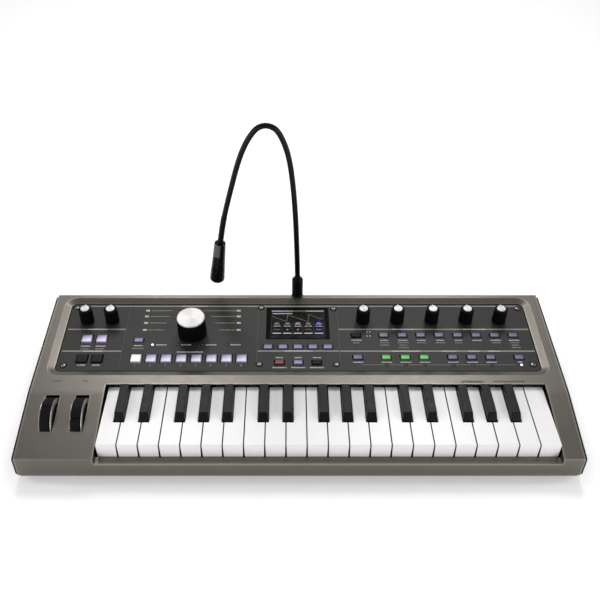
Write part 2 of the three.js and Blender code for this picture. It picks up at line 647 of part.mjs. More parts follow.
function neckPiece(fromShare, toShare) {
  const points = Array.from({ length: NECK_STEPS + 1 }, (_, i) =>
    neckCurve.getPointAt(fromShare + ((toShare - fromShare) * i) / NECK_STEPS));
  const section = new THREE.Shape(Array.from({ length: NECK_SIDES }, (_, i) => {
    const angle = (2 * Math.PI * i) / NECK_SIDES;
    return new THREE.Vector2(NECK_RADIUS * Math.cos(angle), NECK_RADIUS * Math.sin(angle));
  }));
  return new THREE.ExtrudeGeometry(section, {
    steps: NECK_STEPS, extrudePath: new THREE.CatmullRomCurve3(points), bevelEnabled: false,
  });
}

function micPlug() {
  const collar = 4.2;
  return turned([
    [0, PLUG.pinBottom], [SHAFT_RADIUS, PLUG.pinBottom], [SHAFT_RADIUS, BOSS.top + GAP],
    [collar, BOSS.top + GAP], [collar, PLUG.bottom], [PLUG.radius, PLUG.bottom],
    [PLUG.radius, PLUG.shoulder], [PLUG.neck, PLUG.top], [0, PLUG.top],
  ]).translate(0, depthY(MIC_DEPTH), 0);
}

const micHead = () => turned([
  [0, -HEAD.length], [4.4, -HEAD.length + 0.5], [7.4, -HEAD.length + 2],
  [HEAD.radius, -HEAD.length + 4], [HEAD.topRadius, -0.6], [HEAD.topRadius - 0.6, 0], [0, 0],
]);

// ---------------------------------------------------------------- assembly

const synthesizer = new THREE.Group();
synthesizer.add(meshFrom('bottom_case', bottomCase(), UNDERSIDE));
synthesizer.add(meshFrom('top_case', topCase(), CASE_GREY));
synthesizer.add(meshFrom('keybed_frame', keybedFrame(), KEYBED));
synthesizer.add(meshFrom('main_board', mainBoard(), BOARD_GREEN));

for (let index = 0; index < WHITE_COUNT; index += 1) {
  const name = `key_${noteOf(index)}${octaveOf(index)}`;
  synthesizer.add(meshFrom(name, whiteKey(index), KEY_WHITE));
  if (blackCentre(index) !== null) {
    const sharp = `key_${noteOf(index)}_sharp${octaveOf(index)}`;
    synthesizer.add(meshFrom(sharp, blackKey(index), KEY_BLACK));
  }
}

synthesizer.add(meshFrom('pitch_wheel', wheel(PITCH_WHEEL_X, PITCH_GROOVE), WHEEL_RUBBER));
synthesizer.add(meshFrom('mod_wheel', wheel(MOD_WHEEL_X, MOD_GROOVE), WHEEL_RUBBER));

const panel = new THREE.Group();
panel.applyMatrix4(PANEL_TO_CASE);
panel.add(meshFrom('control_panel', controlPanel(), PLATE_GREY));
panel.add(meshFrom('display_window', displayWindow(), WINDOW_DARK));
for (const name of Object.keys(MATS)) {
  panel.add(meshFrom(name, buttonMat(name), CAP_LAVENDER));
}
KNOBS.forEach(({ place: [x, s], size }, i) => {
  const mesh = meshFrom(KNOB_NAMES[i], knob(size), BLACK_PLASTIC);
  mesh.position.set(x, s, 0);
  panel.add(mesh);
});
synthesizer.add(panel);

const neckLength = neckCurve.getLength();
const jointShare = NECK_JOINT_GAP / neckLength;
synthesizer.add(meshFrom('mic_plug', micPlug(), MIC_BLACK));
synthesizer.add(meshFrom('gooseneck_lower', neckPiece(jointShare, BEND_AT - jointShare), MIC_BLACK));
synthesizer.add(meshFrom('gooseneck_upper', neckPiece(BEND_AT + jointShare, 1), MIC_BLACK));
const head = meshFrom('mic_head', micHead(), MIC_BLACK);
head.position.set(HEAD.x, depthY(MIC_DEPTH), HEAD.z);
head.rotation.y = degrees(HEAD.tilt);
synthesizer.add(head);

export default synthesizer;
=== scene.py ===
# The looks of a compact 37-key synthesizer with a gooseneck microphone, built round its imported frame.
#
# Shapes are worked out in millimetres in the frame's own axes: +X is the player's right, +Y away
# from the player and +Z up. "Depth" is measured from the front face of the case. The control
# panel has axes of its own: x, s (up the slope from the bend in the cheeks) and n (out of the plate).

import json
import math
import random

import bmesh
import bpy
from mathutils import Matrix, Vector


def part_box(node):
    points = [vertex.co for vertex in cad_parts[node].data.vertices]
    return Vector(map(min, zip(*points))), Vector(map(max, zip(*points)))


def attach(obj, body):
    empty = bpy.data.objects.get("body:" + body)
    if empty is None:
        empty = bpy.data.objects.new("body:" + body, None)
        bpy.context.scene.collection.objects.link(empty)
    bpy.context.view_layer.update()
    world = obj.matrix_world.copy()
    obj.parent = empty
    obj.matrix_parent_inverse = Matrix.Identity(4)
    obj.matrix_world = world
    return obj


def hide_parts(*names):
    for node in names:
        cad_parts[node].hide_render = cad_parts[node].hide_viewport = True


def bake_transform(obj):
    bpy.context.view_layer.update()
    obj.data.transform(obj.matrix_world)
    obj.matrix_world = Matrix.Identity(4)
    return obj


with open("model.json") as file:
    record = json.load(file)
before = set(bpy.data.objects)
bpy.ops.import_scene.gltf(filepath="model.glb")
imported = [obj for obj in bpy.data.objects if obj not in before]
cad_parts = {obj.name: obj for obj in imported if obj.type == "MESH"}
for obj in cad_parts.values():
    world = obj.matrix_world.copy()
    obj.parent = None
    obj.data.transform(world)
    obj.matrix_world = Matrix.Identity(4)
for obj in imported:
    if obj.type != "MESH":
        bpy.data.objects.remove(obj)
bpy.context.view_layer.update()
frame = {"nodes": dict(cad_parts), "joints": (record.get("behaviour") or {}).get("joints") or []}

MM = 0.001


def box_mm(node):
    """A node's lowest and highest corners, in millimetres."""
    low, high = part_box(node)
    return low / MM, high / MM


# ---------------------------------------------------------------- driving dimensions, in mm

FRONT_Y = box_mm("top_case")[0].y
HALF_WIDTH = box_mm("top_case")[1].x
CASE_DEPTH = 222
SKIRT_Z = 8
CHEEK_FRONT_Z = 32
BEND_DEPTH, BEND_Z = 77, 45.7
REAR_Z = 56.5
WALL = 2.5
GAP = 0.3
END_CAP = 2

WELL_LEFT, WELL_RIGHT = -199.1, 255
WELL_REAR = 87
RAIL_DEPTH, RAIL_Z = 8.6, 25

PLATE_HALF, PLATE_FRONT, PLATE_REAR = 256.8, 31.1, 131.7
PLATE_CORNER, PLATE_THICKNESS = 5, 1.6
SEAT_CLEAR = 1.1
DISH_DEPTH, DISH_WALL = 3, 8.5
LEDGE_SIDES, LEDGE_ENDS = 8, 6
KNOB_ROW = 105.6

WHEEL_WIDTH = 12.4
WHEEL_DEPTH, WHEEL_Z = 52, 30
SLOT_WIDTH, SLOT_FRONT, SLOT_REAR = 13.6, 31, 72.9
WHEEL_GROOVES = {"pitch_wheel": 5, "mod_wheel": 38}

WINDOW_HALF, WINDOW_FRONT, WINDOW_REAR = 34.9, 77.3, 126.5
SCREEN_LEFT, SCREEN_RIGHT, SCREEN_FRONT, SCREEN_REAR = -29.1, 29.4, 79.5, 122.3

SOCKET_Z = 24
JACK_BOARD_REAR = 204.8  # the sockets stand behind this depth
SOCKETS = {"phone": (205, 170, 140, 105), "mini": (75, 55), "din": (-35, -65), "power": (-215,)}
SOCKET_BARREL = {"phone": 5.8, "mini": 3.9, "din": 8.2, "power": 5.2}
USB_X, USB_WIDTH, USB_HEIGHT = -100, 9, 3.4

MIC_DEPTH = 220.1
BOSS_RADIUS = 7
NECK_RADIUS = 3
NECK_SEAM_Z = 210
SLEEVE_LENGTH, SLEEVE_EXTRA = 34, 0.3  # the thicker end of the neck, above the microphone
# Centre line of the neck, as (x, z), from the plug to the microphone.
NECK_POINTS = [
    (0, 83.9), (-0.7, 112), (-2.7, 163), (-5.5, 202), (-9.3, 232), (-14.6, 252), (-22, 266.5),
    (-31.5, 271.65), (-41, 269), (-49.3, 259), (-56.8, 244), (-63.3, 225), (-69.5, 202.4),
    (-75.2, 180.5), (-80.4, 158), (-84.9, 131.8),
]
HEAD_TOP = (-85.1, 131.5)
HEAD_LENGTH, HEAD_TOP_RADIUS, HEAD_RADIUS, HEAD_TILT = 53, 6.1, 8.2, 6.9

# The panel's own axes come from the hinge of a knob, which stands square to the plate.
KNOB_HINGES = {
    joint["child"]: Vector(joint["pos_m"]) / MM
    for joint in frame["joints"]
    if joint["name"].endswith("_turn")
}
PANEL_NORMAL = Vector(
    next(joint["axis"] for joint in frame["joints"] if joint["name"] == "selector_dial_turn")
)
PANEL_UP = PANEL_NORMAL.cross(Vector((1, 0, 0)))
PANEL_SLOPE = math.atan2(PANEL_UP.z, PANEL_UP.y)


def panel_matrix():
    """Carries the panel's axes into the frame's."""
    knob = KNOB_HINGES["right_knob_1"]
    origin = knob - PANEL_UP * KNOB_ROW
    origin.x = 0
    turn = Matrix((Vector((1, 0, 0)), PANEL_UP, PANEL_NORMAL)).transposed().to_4x4()
    return Matrix.Translation(origin) @ turn


PANEL = panel_matrix()
INTO_PANEL = PANEL.inverted()
IDENTITY = Matrix.Identity(4)


def on_panel(x, s, n=0):
    """A place on the plate, with the local Z axis pointing out of it."""
    return PANEL @ Matrix.Translation((x, s, n))


def y_at(depth):
    return FRONT_Y + depth


def frame_place(x, depth, z=0):
    """A place in the frame's own axes."""
    return Matrix.Translation((x, y_at(depth), z))


def facing_rear(x, z):
    """A place on the rear face, with the local Z axis pointing away from the player."""
    return frame_place(x, CASE_DEPTH, z) @ Matrix.Rotation(-math.pi / 2, 4, "X")


def roof_z(depth):
    """Height of the case's upper surface, which bends from the cheeks to the panel's slope."""
    if depth < BEND_DEPTH:
        return CHEEK_FRONT_Z + (BEND_Z - CHEEK_FRONT_Z) * depth / BEND_DEPTH
    return BEND_Z + (depth - BEND_DEPTH) * math.tan(PANEL_SLOPE)


# ---------------------------------------------------------------- outlines


def filleted(corners, steps=5):
    """A closed outline whose (a, b, radius) corners are rounded by arcs."""
    outline = []
    for i, (a, b, radius) in enumerate(corners):
        corner = Vector((a, b))
        back = (Vector(corners[i - 1][:2]) - corner).normalized()
        ahead = (Vector(corners[(i + 1) % len(corners)][:2]) - corner).normalized()
        if radius == 0:
            outline.append(tuple(corner))
            continue
        half = back.angle(ahead) / 2
        centre = corner + (back + ahead).normalized() * (radius / math.sin(half))
        start = corner + back * (radius / math.tan(half)) - centre
        end = corner + ahead * (radius / math.tan(half)) - centre
        sweep = math.atan2(start.x * end.y - start.y * end.x, start.dot(end))
        for k in range(steps + 1):
            outline.append(tuple(centre + Matrix.Rotation(sweep * k / steps, 2) @ start))
    return outline


def rounded_rectangle(x0, x1, y0, y1, radius, steps=4):
    return filleted([(x0, y0, radius), (x1, y0, radius), (x1, y1, radius), (x0, y1, radius)], steps)


def circle(radius, sides, ripple=0.0, count=0):
    """Points round a circle, with count shallow grooves where ripple isn't 0."""
    points = []
    for k in range(sides):
        angle = 2 * math.pi * k / sides
        depth = ripple * max(0.0, math.cos(count * angle)) if count else 0.0
        points.append(((radius - depth) * math.cos(angle), (radius - depth) * math.sin(angle)))
    return points


# ---------------------------------------------------------------- mesh building


def loft(mesh, rings, material=0, matrix=IDENTITY):
    """A closed solid through rings of points, all with the same count."""
    rows = [[mesh.verts.new(matrix @ Vector(point)) for point in ring] for ring in rings]
    faces = []
    for lower, upper in zip(rows, rows[1:]):
        for i in range(len(lower)):
            j = (i + 1) % len(lower)
            faces.append(mesh.faces.new((lower[i], lower[j], upper[j], upper[i])))
    faces.append(mesh.faces.new(rows[0][::-1]))
    faces.append(mesh.faces.new(rows[-1]))
    for face in faces:
        face.material_index = material
    return faces


def solid(shape, *sizes, **placing):
    """A new mesh that holds one shape."""
    mesh = bmesh.new()
    shape(mesh, *sizes, **placing)
    return mesh


def bar_x(mesh, outline, x0, x1, material=0):
    """An outline of (depth, z) points carried along X."""
    rings = [[(x, y_at(depth), z) for depth, z in outline] for x in (x0, x1)]
    return loft(mesh, rings, material)


def slab(mesh, outline, levels, material=0, matrix=IDENTITY):
    """An outline of (x, y) points carried up through z levels."""
    return loft(mesh, [[(x, y, z) for x, y in outline] for z in levels], material, matrix)


def cuboid(mesh, x0, x1, y0, y1, z0, z1, material=0, matrix=IDENTITY):
    return slab(mesh, [(x0, y0), (x1, y0), (x1, y1), (x0, y1)], (z0, z1), material, matrix)


def pad(mesh, x0, x1, y0, y1, z0, z1, corner, crown, material=0, matrix=IDENTITY):
    """A block with rounded upright corners and a rounded upper edge."""
    rings = [[(x, y, z0) for x, y in rounded_rectangle(x0, x1, y0, y1, corner)]]
    steps = 4
    for k in range(steps + 1):
        turn = math.pi / 2 * k / steps
        inset = crown * (1 - math.cos(turn))
        z = z1 - crown + crown * math.sin(turn)
        radius = max(corner - inset, 0.08)
        outline = rounded_rectangle(x0 + inset, x1 - inset, y0 + inset, y1 - inset, radius)
        rings.append([(x, y, z) for x, y in outline])
    return loft(mesh, rings, material, matrix)


def turned(mesh, profile, sides=48, material=0, matrix=IDENTITY, ripple=0.0, count=0):
    """A solid of revolution about Z from (radius, z, grooved) rows."""
    rings = []
    for radius, z, grooved in profile:
        outline = circle(radius, sides, ripple if grooved else 0.0, count)
        rings.append([(x, y, z) for x, y in outline])
    return loft(mesh, rings, material, matrix)


def plain(profile):
    return [(radius, z, False) for radius, z in profile]


def round_edges(mesh, width, segments=2, where=lambda edge: True, angle=25):
    """Rounds the edges where two faces meet at more than an angle."""
    mesh.normal_update()
    sharp = [
        edge for edge in mesh.edges
        if len(edge.link_faces) == 2 and edge.calc_face_angle(0) > math.radians(angle) and where(edge)
    ]
    bmesh.ops.bevel(
        mesh, geom=sharp, offset=width, offset_type="OFFSET", segments=segments, profile=0.5,
        affect="EDGES", clamp_overlap=True,
    )


def add_piece(name, mesh, materials, body, replaces=(), smooth_angle=32):
    """Turns a mesh in millimetres into a shown piece in metres, which rides on a body if one is named."""
    bmesh.ops.remove_doubles(mesh, verts=mesh.verts, dist=0.0005)
    bmesh.ops.recalc_face_normals(mesh, faces=mesh.faces)
    bmesh.ops.scale(mesh, vec=(MM, MM, MM), verts=mesh.verts)
    data = bpy.data.meshes.new(name)
    mesh.to_mesh(data)
    mesh.free()
    data.shade_smooth()
    data.set_sharp_from_angle(angle=math.radians(smooth_angle))
    for material in materials:
        data.materials.append(material)
    piece = bpy.data.objects.new(name, data)
    bpy.context.scene.collection.objects.link(piece)
    weighted = piece.modifiers.new("weighted_normals", "WEIGHTED_NORMAL")
    weighted.keep_sharp = True
    if body:
        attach(piece, body)
    if replaces:
        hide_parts(*replaces)
    return piece


def carve(mesh, steps):
    """Applies (operation, tool mesh) steps to a mesh, and returns the result as a new mesh."""
    def as_object(source):
        bmesh.ops.recalc_face_normals(source, faces=source.faces)
        data = bpy.data.meshes.new("carving")
        source.to_mesh(data)
        source.free()
        thing = bpy.data.objects.new("carving", data)
        bpy.context.scene.collection.objects.link(thing)
        return thing

    body = as_object(mesh)
    tools = []
    for operation, tool_mesh in steps:
        tool = as_object(tool_mesh)
        tools.append(tool)
        modifier = body.modifiers.new("carve", "BOOLEAN")
        modifier.operation = operation
        modifier.solver = "EXACT"
        modifier.use_self = True
        modifier.object = tool
    evaluated = body.evaluated_get(bpy.context.evaluated_depsgraph_get())
    result = bmesh.new()
    result.from_mesh(evaluated.to_mesh())
    evaluated.to_mesh_clear()
    for thing in [body, *tools]:
        bpy.data.objects.remove(thing)
    bmesh.ops.remove_doubles(result, verts=result.verts, dist=0.002)
    bmesh.ops.dissolve_degenerate(result, edges=result.edges, dist=0.002)
    return result


# ---------------------------------------------------------------- materials


def srgb(red, green, blue):
    """Linear colour from 0 to 255 display values."""
    def linear(value):
        value /= 255
        return value / 12.92 if value <= 0.04045 else ((value + 0.055) / 1.055) ** 2.4
    return (linear(red), linear(green), linear(blue), 1)


def connect(tree, node, sockets):
    """Gives each named input of a node its value, or the output that feeds it."""
    for socket, value in sockets.items():
        if isinstance(value, bpy.types.NodeSocket):
            tree.links.new(value, node.inputs[socket])
        else:
            node.inputs[socket].default_value = value


def add_node(tree, kind, sockets=None, **settings):
    """Adds a shader node with its settings and inputs."""
    node = tree.nodes.new("ShaderNode" + kind)
    for setting, value in settings.items():
        setattr(node, setting, value)
    connect(tree, node, sockets or {})
    return node


def computed(tree, operation, *values):
    """The result of a Math node."""
    return add_node(tree, "Math", dict(enumerate(values)), operation=operation).outputs["Value"]


def remapped(tree, value, low, high, to_low=0, to_high=1):
    """A value carried from the range low to high into another range."""
    return add_node(tree, "MapRange", {
        "Value": value, "From Min": low, "From Max": high, "To Min": to_low, "To Max": to_high,
    }).outputs["Result"]


def mixed(tree, factor, first, second, blend_type="MIX"):
    """Two colours mixed by a factor from 0 to 1."""
    return add_node(
        tree, "Mix", {"Factor": factor, "A": first, "B": second}, data_type="RGBA", blend_type=blend_type,
    ).outputs["Result"]


def multiplied(tree, color, shade):
    return mixed(tree, 1, color, shade, "MULTIPLY")


def finish(
    name, color, roughness, metallic=0.0, grain=900.0, grain_depth=0.1, mottle=0.05,
    rough_spread=0.05, wear_and_highlight=0.0, wear_and_highlight_width=1.2, coat=0.0, emission=0.0, specular=0.5,
):
    """A procedural surface: mottled colour, uneven roughness, fine grain, and paler outer edges that are
    partly worn paint and partly a painted highlight.
    """
    material = bpy.data.materials.new(name)
    material.use_nodes = True
    tree = material.node_tree
    place = add_node(tree, "TexCoord").outputs["Object"]

    def noise(scale, detail):
        return add_node(tree, "TexNoise", {"Vector": place, "Scale": scale, "Detail": detail}).outputs["Fac"]

    def spread(value, middle, half):
        return remapped(tree, value, 0.3, 0.7, middle - half, middle + half)

    fine = noise(grain, 2)
    mottling = computed(tree, "MULTIPLY", spread(noise(45, 4), 1, mottle), spread(fine, 1, mottle))
    shade = multiplied(tree, color, mottling)
    if wear_and_highlight:
        # Light that could reach the surface from inside the wall: less of it near an outer edge.
        inner_light = add_node(
            tree, "AmbientOcclusion", {"Distance": wear_and_highlight_width * MM}, inside=True, only_local=True, samples=8,
        )
        # Outer edges are made paler: a painted highlight along them, with some edge wear.
        edge_highlight = remapped(tree, inner_light.outputs["AO"], 0.95, 0.6, 0, wear_and_highlight)
        pale = [min(1, c * 2.2 + 0.02) for c in color[:3]] + [1]
        shade = mixed(tree, edge_highlight, shade, pale)
    bump = add_node(tree, "Bump", {"Strength": grain_depth, "Distance": 0.05 * MM, "Height": fine})
    surface = tree.nodes["Principled BSDF"]
    connect(tree, surface, {
        "Base Color": shade, "Roughness": spread(noise(180, 3), roughness, rough_spread),
        "Normal": bump.outputs["Normal"], "Metallic": metallic, "Specular IOR Level": specular,
        "Coat Weight": coat, "Coat Roughness": 0.06,
    })
    if emission:
        connect(tree, surface, {"Emission Color": shade, "Emission Strength": emission})
    return material


def split_uv(tree):
    """The X and Y outputs of the piece's own flat coordinates."""
    coordinates = add_node(tree, "UVMap").outputs["UV"]
    parts = add_node(tree, "SeparateXYZ", {"Vector": coordinates}).outputs
    return parts["X"], parts["Y"]


def glowing_cap_painted_light(name, shaded_rear_color, lit_front_color, emission, lean=0.0):
    """A translucent cap with painted shade on its rim and painted light towards the front, and to the right
    where lean is above 0; its emission is painted light on the caps that are not lit.
    """
    material = finish(name, shaded_rear_color, 0.42, grain=1400, grain_depth=0.06, mottle=0.04)
    tree = material.node_tree
    surface = tree.nodes["Principled BSDF"]
    x, y = split_uv(tree)
    leaning = computed(tree, "MULTIPLY_ADD", x, -lean, y)
    painted_front_light = remapped(tree, leaning, 1 - max(lean, 0) / 2, -lean / 2)
    shade = mixed(tree, painted_front_light, surface.inputs["Base Color"].links[0].from_socket, lit_front_color)
    # Painted shade darkens the rim: the nearer border, in X or Y, sets how much.
    to_borders = [computed(tree, "PINGPONG", place, 0.5) for place in (x, y)]
    rim = remapped(tree, computed(tree, "MINIMUM", *to_borders), 0, 0.16, 0.3, 1)
    shade = multiplied(tree, shade, rim)
    connect(tree, surface, {"Base Color": shade, "Emission Color": shade, "Emission Strength": emission})
    return material


def spun_metal(name, color):
    """Metal turned on a lathe, with a painted reflection: soft spokes of light round the middle of the
    piece's flat coordinates.
    """
    material = finish(name, color, 0.38, metallic=0.2, grain=1600, grain_depth=0.02, mottle=0.03)
    tree = material.node_tree
    surface = tree.nodes["Principled BSDF"]
    x, y = split_uv(tree)
    turn = computed(tree, "ARCTAN2", y, x)
    painted_reflection_spokes = computed(tree, "SINE", computed(tree, "MULTIPLY_ADD", turn, 2, 0.9))
    shade = remapped(tree, painted_reflection_spokes, -1, 1, 0.78, 1)
    mottled = surface.inputs["Base Color"].links[0].from_socket
    connect(tree, surface, {"Base Color": multiplied(tree, mottled, shade)})
    return material


# The paler edges of the case are mostly a painted highlight, such as the bright line along the cheeks' front
# edges.
CASE_PAINT = finish(
    "case_paint", srgb(104, 100, 94), 0.38, metallic=0.85, grain=2600, grain_depth=0.12, mottle=0.03,
    rough_spread=0.025, wear_and_highlight=0.7, wear_and_highlight_width=2.2,
)
END_CAP_BLACK = finish(
    "end_cap_black", srgb(10, 10, 11), 0.5, specular=0.25, grain=1800, grain_depth=0.15, wear_and_highlight=0.1,
)
UNDERSIDE = finish("underside_black", srgb(34, 34, 36), 0.65, grain=1500, grain_depth=0.4)
FOOT_RUBBER = finish("foot_rubber", srgb(26, 26, 27), 0.85, grain=1100, grain_depth=0.5)
PLATE_PAINT = finish(
    "plate_anodised", srgb(46, 45, 44), 0.5, metallic=0.3, grain=2600, grain_depth=0.1, mottle=0.03,
    rough_spread=0.02, wear_and_highlight=0.3, specular=0.3,
)
KEY_WHITE = finish(
    "key_white", srgb(241, 239, 240), 0.3, grain=700, grain_depth=0.01, mottle=0.003, rough_spread=0.01,
)
KEY_SIDE_SHADE = finish("key_side_painted_shade", srgb(70, 68, 66), 0.6, grain=700, grain_depth=0.1, mottle=0.1)
KEY_BLACK = finish(
    "key_black", srgb(9, 9, 9), 0.42, specular=0.2, grain=2200, grain_depth=0.3, mottle=0.06, wear_and_highlight=0.12,
)
# Black for the keybed frame, and black painted shade in the hollows of the case.
KEYBED_BLACK_AND_SHADE = finish("keybed_black_and_shade", srgb(9, 9, 10), 0.7, specular=0.2, grain=1400, grain_depth=0.3)
KNOB_BLACK = finish("knob_black", srgb(4, 4, 4), 0.5, specular=0.1, grain=2400, grain_depth=0.3, wear_and_highlight=0.08)
CAP_METAL = spun_metal("spun_metal", srgb(212, 210, 208))
POINTER_WHITE = finish("pointer_white", srgb(240, 240, 238), 0.5, grain=1800, mottle=0.02)
TREAD_RUBBER = finish("tread_rubber", srgb(7, 7, 9), 0.6, specular=0.12, grain=1700, grain_depth=0.5)
WHEEL_METAL = finish(
    "wheel_silver", srgb(168, 164, 158), 0.36, metallic=0.9, grain=2600, grain_depth=0.04, mottle=0.02,
)
WHEEL_SIDE = finish("wheel_side", srgb(20, 20, 20), 0.45, grain=1800, mottle=0.08, specular=0.3)
PRINT_PALE = finish("print_pale", srgb(190, 188, 184), 0.6, grain=2400, mottle=0.05)
PRINT_GREY = finish("print_grey", srgb(132, 129, 124), 0.6, grain=2400, mottle=0.05)
PRINT_FAINT = finish("print_faint", srgb(76, 74, 72), 0.6, grain=2400, mottle=0.05)
PRINT_DARK = finish("print_dark", srgb(52, 50, 48), 0.6, grain=2400, mottle=0.05)
SCREW_STEEL = finish("screw_steel", srgb(136, 134, 131), 0.3, metallic=0.9, grain=2600, mottle=0.08)
SOCKET_METAL = finish("socket_nickel", srgb(190, 188, 184), 0.28, metallic=0.95, grain=2000, mottle=0.06)
SOCKET_BLACK = finish("socket_black", srgb(22, 22, 23), 0.5, grain=1700, grain_depth=0.25)
MAT_RUBBER = finish("mat_rubber", srgb(26, 20, 44), 0.6, grain=1500, grain_depth=0.2, specular=0.3)
BOARD_GREEN = finish("board_green", srgb(30, 84, 52), 0.45, grain=500, grain_depth=0.3, mottle=0.15, coat=0.3)
WINDOW_BLACK = finish(
    "window_acrylic", srgb(5, 5, 7), 0.16, grain=400, grain_depth=0.01, rough_spread=0.02, specular=0.1,
)
MIC_BLACK = finish("mic_black", srgb(5, 5, 5), 0.26, specular=0.35, grain=2200, grain_depth=0.2, wear_and_highlight=0.1)
MIC_PLATE = finish("mic_plate", srgb(84, 82, 83), 0.5, grain=2200, grain_depth=0.2)
MIC_HOLES = finish("mic_mesh_shadow", srgb(3, 3, 3), 0.9, grain=1500, grain_depth=0.4, specular=0.1)
PLUG_BLACK = finish("plug_black", srgb(3, 3, 3), 0.45, specular=0.12, grain=2200, grain_depth=0.25, wear_and_highlight=0.08)
NECK_LOWER = finish("neck_sheath", srgb(4, 4, 4), 0.26, specular=0.18, grain=2600, grain_depth=0.2)
NECK_UPPER = finish("neck_winding", srgb(4, 4, 4), 0.26, specular=0.18, grain=2600, grain_depth=0.2)

LAVENDER = glowing_cap_painted_light("cap_lavender", srgb(92, 82, 130), srgb(236, 228, 252), 0.14, lean=0.35)
LAVENDER_SMALL = glowing_cap_painted_light("cap_lavender_small", srgb(100, 90, 132), srgb(146, 136, 178), 0.12, lean=-0.2)
LAVENDER_DIM = glowing_cap_painted_light("cap_lavender_dim", srgb(86, 78, 112), srgb(112, 104, 140), 0.12, lean=-0.6)
CAP_GREEN = glowing_cap_painted_light("cap_lit_green", srgb(48, 146, 48), srgb(104, 188, 92), 0.3, lean=-0.5)
CAP_RED = glowing_cap_painted_light("cap_red", srgb(80, 18, 32), srgb(120, 34, 52), 0.1, lean=-0.3)
CAP_WHITE = glowing_cap_painted_light("cap_lit_white", srgb(214, 206, 230), srgb(250, 248, 255), 0.3)
CAP_BLACK = finish("cap_black", srgb(20, 19, 19), 0.5, grain=1400, grain_depth=0.06, specular=0.15)
LAMP_WHITE = finish("lamp_white", srgb(255, 255, 255), 0.4, mottle=0.01, emission=1.6)
LAMP_OFF = finish("lamp_off", srgb(112, 110, 106), 0.3, mottle=0.05, coat=0.3)
BEZEL_AND_SHADE_BLACK = finish("bezel_and_painted_shade", srgb(6, 6, 6), 0.5, mottle=0.05, specular=0.1)
SCREEN_WHITE = finish("screen_white", srgb(172, 175, 180), 0.4, mottle=0.02, emission=0.2)
SCREEN_BAND = finish("screen_band", srgb(50, 54, 52), 0.4, mottle=0.02, emission=0.1)
SCREEN_AMBER = finish("screen_amber", srgb(132, 106, 72), 0.4, mottle=0.02, emission=0.1)
SCREEN_RED = finish("screen_red", srgb(84, 54, 54), 0.4, mottle=0.02, emission=0.1)
SCREEN_BLUE = finish("screen_blue", srgb(58, 72, 96), 0.4, mottle=0.02, emission=0.1)
SCREEN_PALE = finish("screen_pale", srgb(122, 118, 108), 0.4, mottle=0.02, emission=0.1)
SCREEN_VIOLET = finish("screen_violet", srgb(88, 74, 190), 0.4, mottle=0.02, emission=0.25)
SCREEN_BACK = finish("screen_back", srgb(7, 7, 9), 0.2, mottle=0.05, specular=0.2)

# ---------------------------------------------------------------- case


def case_profile(inset=0.0):
    """Side view of the case as (depth, z), drawn in by an inset."""
    sharp = 0.4 if inset else 1.0
    return filleted([
        (inset, SKIRT_Z - (1 if inset else 0), 0.3),
        (CASE_DEPTH - inset, SKIRT_Z - (1 if inset else 0), 0.3),
        (CASE_DEPTH - inset, roof_z(CASE_DEPTH - inset) - inset, 1.3 * sharp),
        (BEND_DEPTH, BEND_Z - inset, 70),
        (inset, roof_z(inset) - inset, 1.2 * sharp),
    ])


def dish_rings():
    """The recess round the plate, from its floor up past the case's surface, in the panel's axes."""
    steps = [
        (SEAT_CLEAR - 0.1, 0), (1.3, 0.1), (DISH_WALL - 0.9, DISH_DEPTH - 0.28),
        (DISH_WALL + 0.7, DISH_DEPTH + 0.06), (DISH_WALL + 0.7, DISH_DEPTH + 8),
    ]
    return [[(x, s, n) for x, s in widened_plate(offset)] for offset, n in steps]


def widened_plate(offset):
    """The plate's outline, moved outwards by an offset."""
    return rounded_rectangle(
        -PLATE_HALF - offset, PLATE_HALF + offset, PLATE_FRONT - offset, PLATE_REAR + offset,
        PLATE_CORNER + offset, 6,
    )


def case_additions():
    """What stands inside the case: the frame under the plate, the well's walls, the rail and the boss."""
    well_wall = [
        (WALL - 0.5, 18), (WELL_REAR, 18), (WELL_REAR, roof_z(WELL_REAR) - 1),
        (BEND_DEPTH, BEND_Z - 1), (WALL - 0.5, roof_z(WALL) - 1),
    ]
    well_walls = bmesh.new()
    for x0 in (WELL_LEFT - WALL, WELL_RIGHT):
        bar_x(well_walls, well_wall, x0, x0 + WALL)
    return [
        solid(
            cuboid, -PLATE_HALF - 9, PLATE_HALF + 9, PLATE_FRONT - 8, PLATE_REAR + 8,
            -PLATE_THICKNESS - 2 * GAP - WALL, DISH_DEPTH - 1, matrix=PANEL,
        ),
        well_walls,
        solid(cuboid, WELL_LEFT - 1, WELL_RIGHT + 1, y_at(1), y_at(RAIL_DEPTH), RAIL_Z - WALL, RAIL_Z + 1),
        solid(slab, circle(BOSS_RADIUS, 40), (36, 56.6), matrix=frame_place(0, MIC_DEPTH)),
    ]


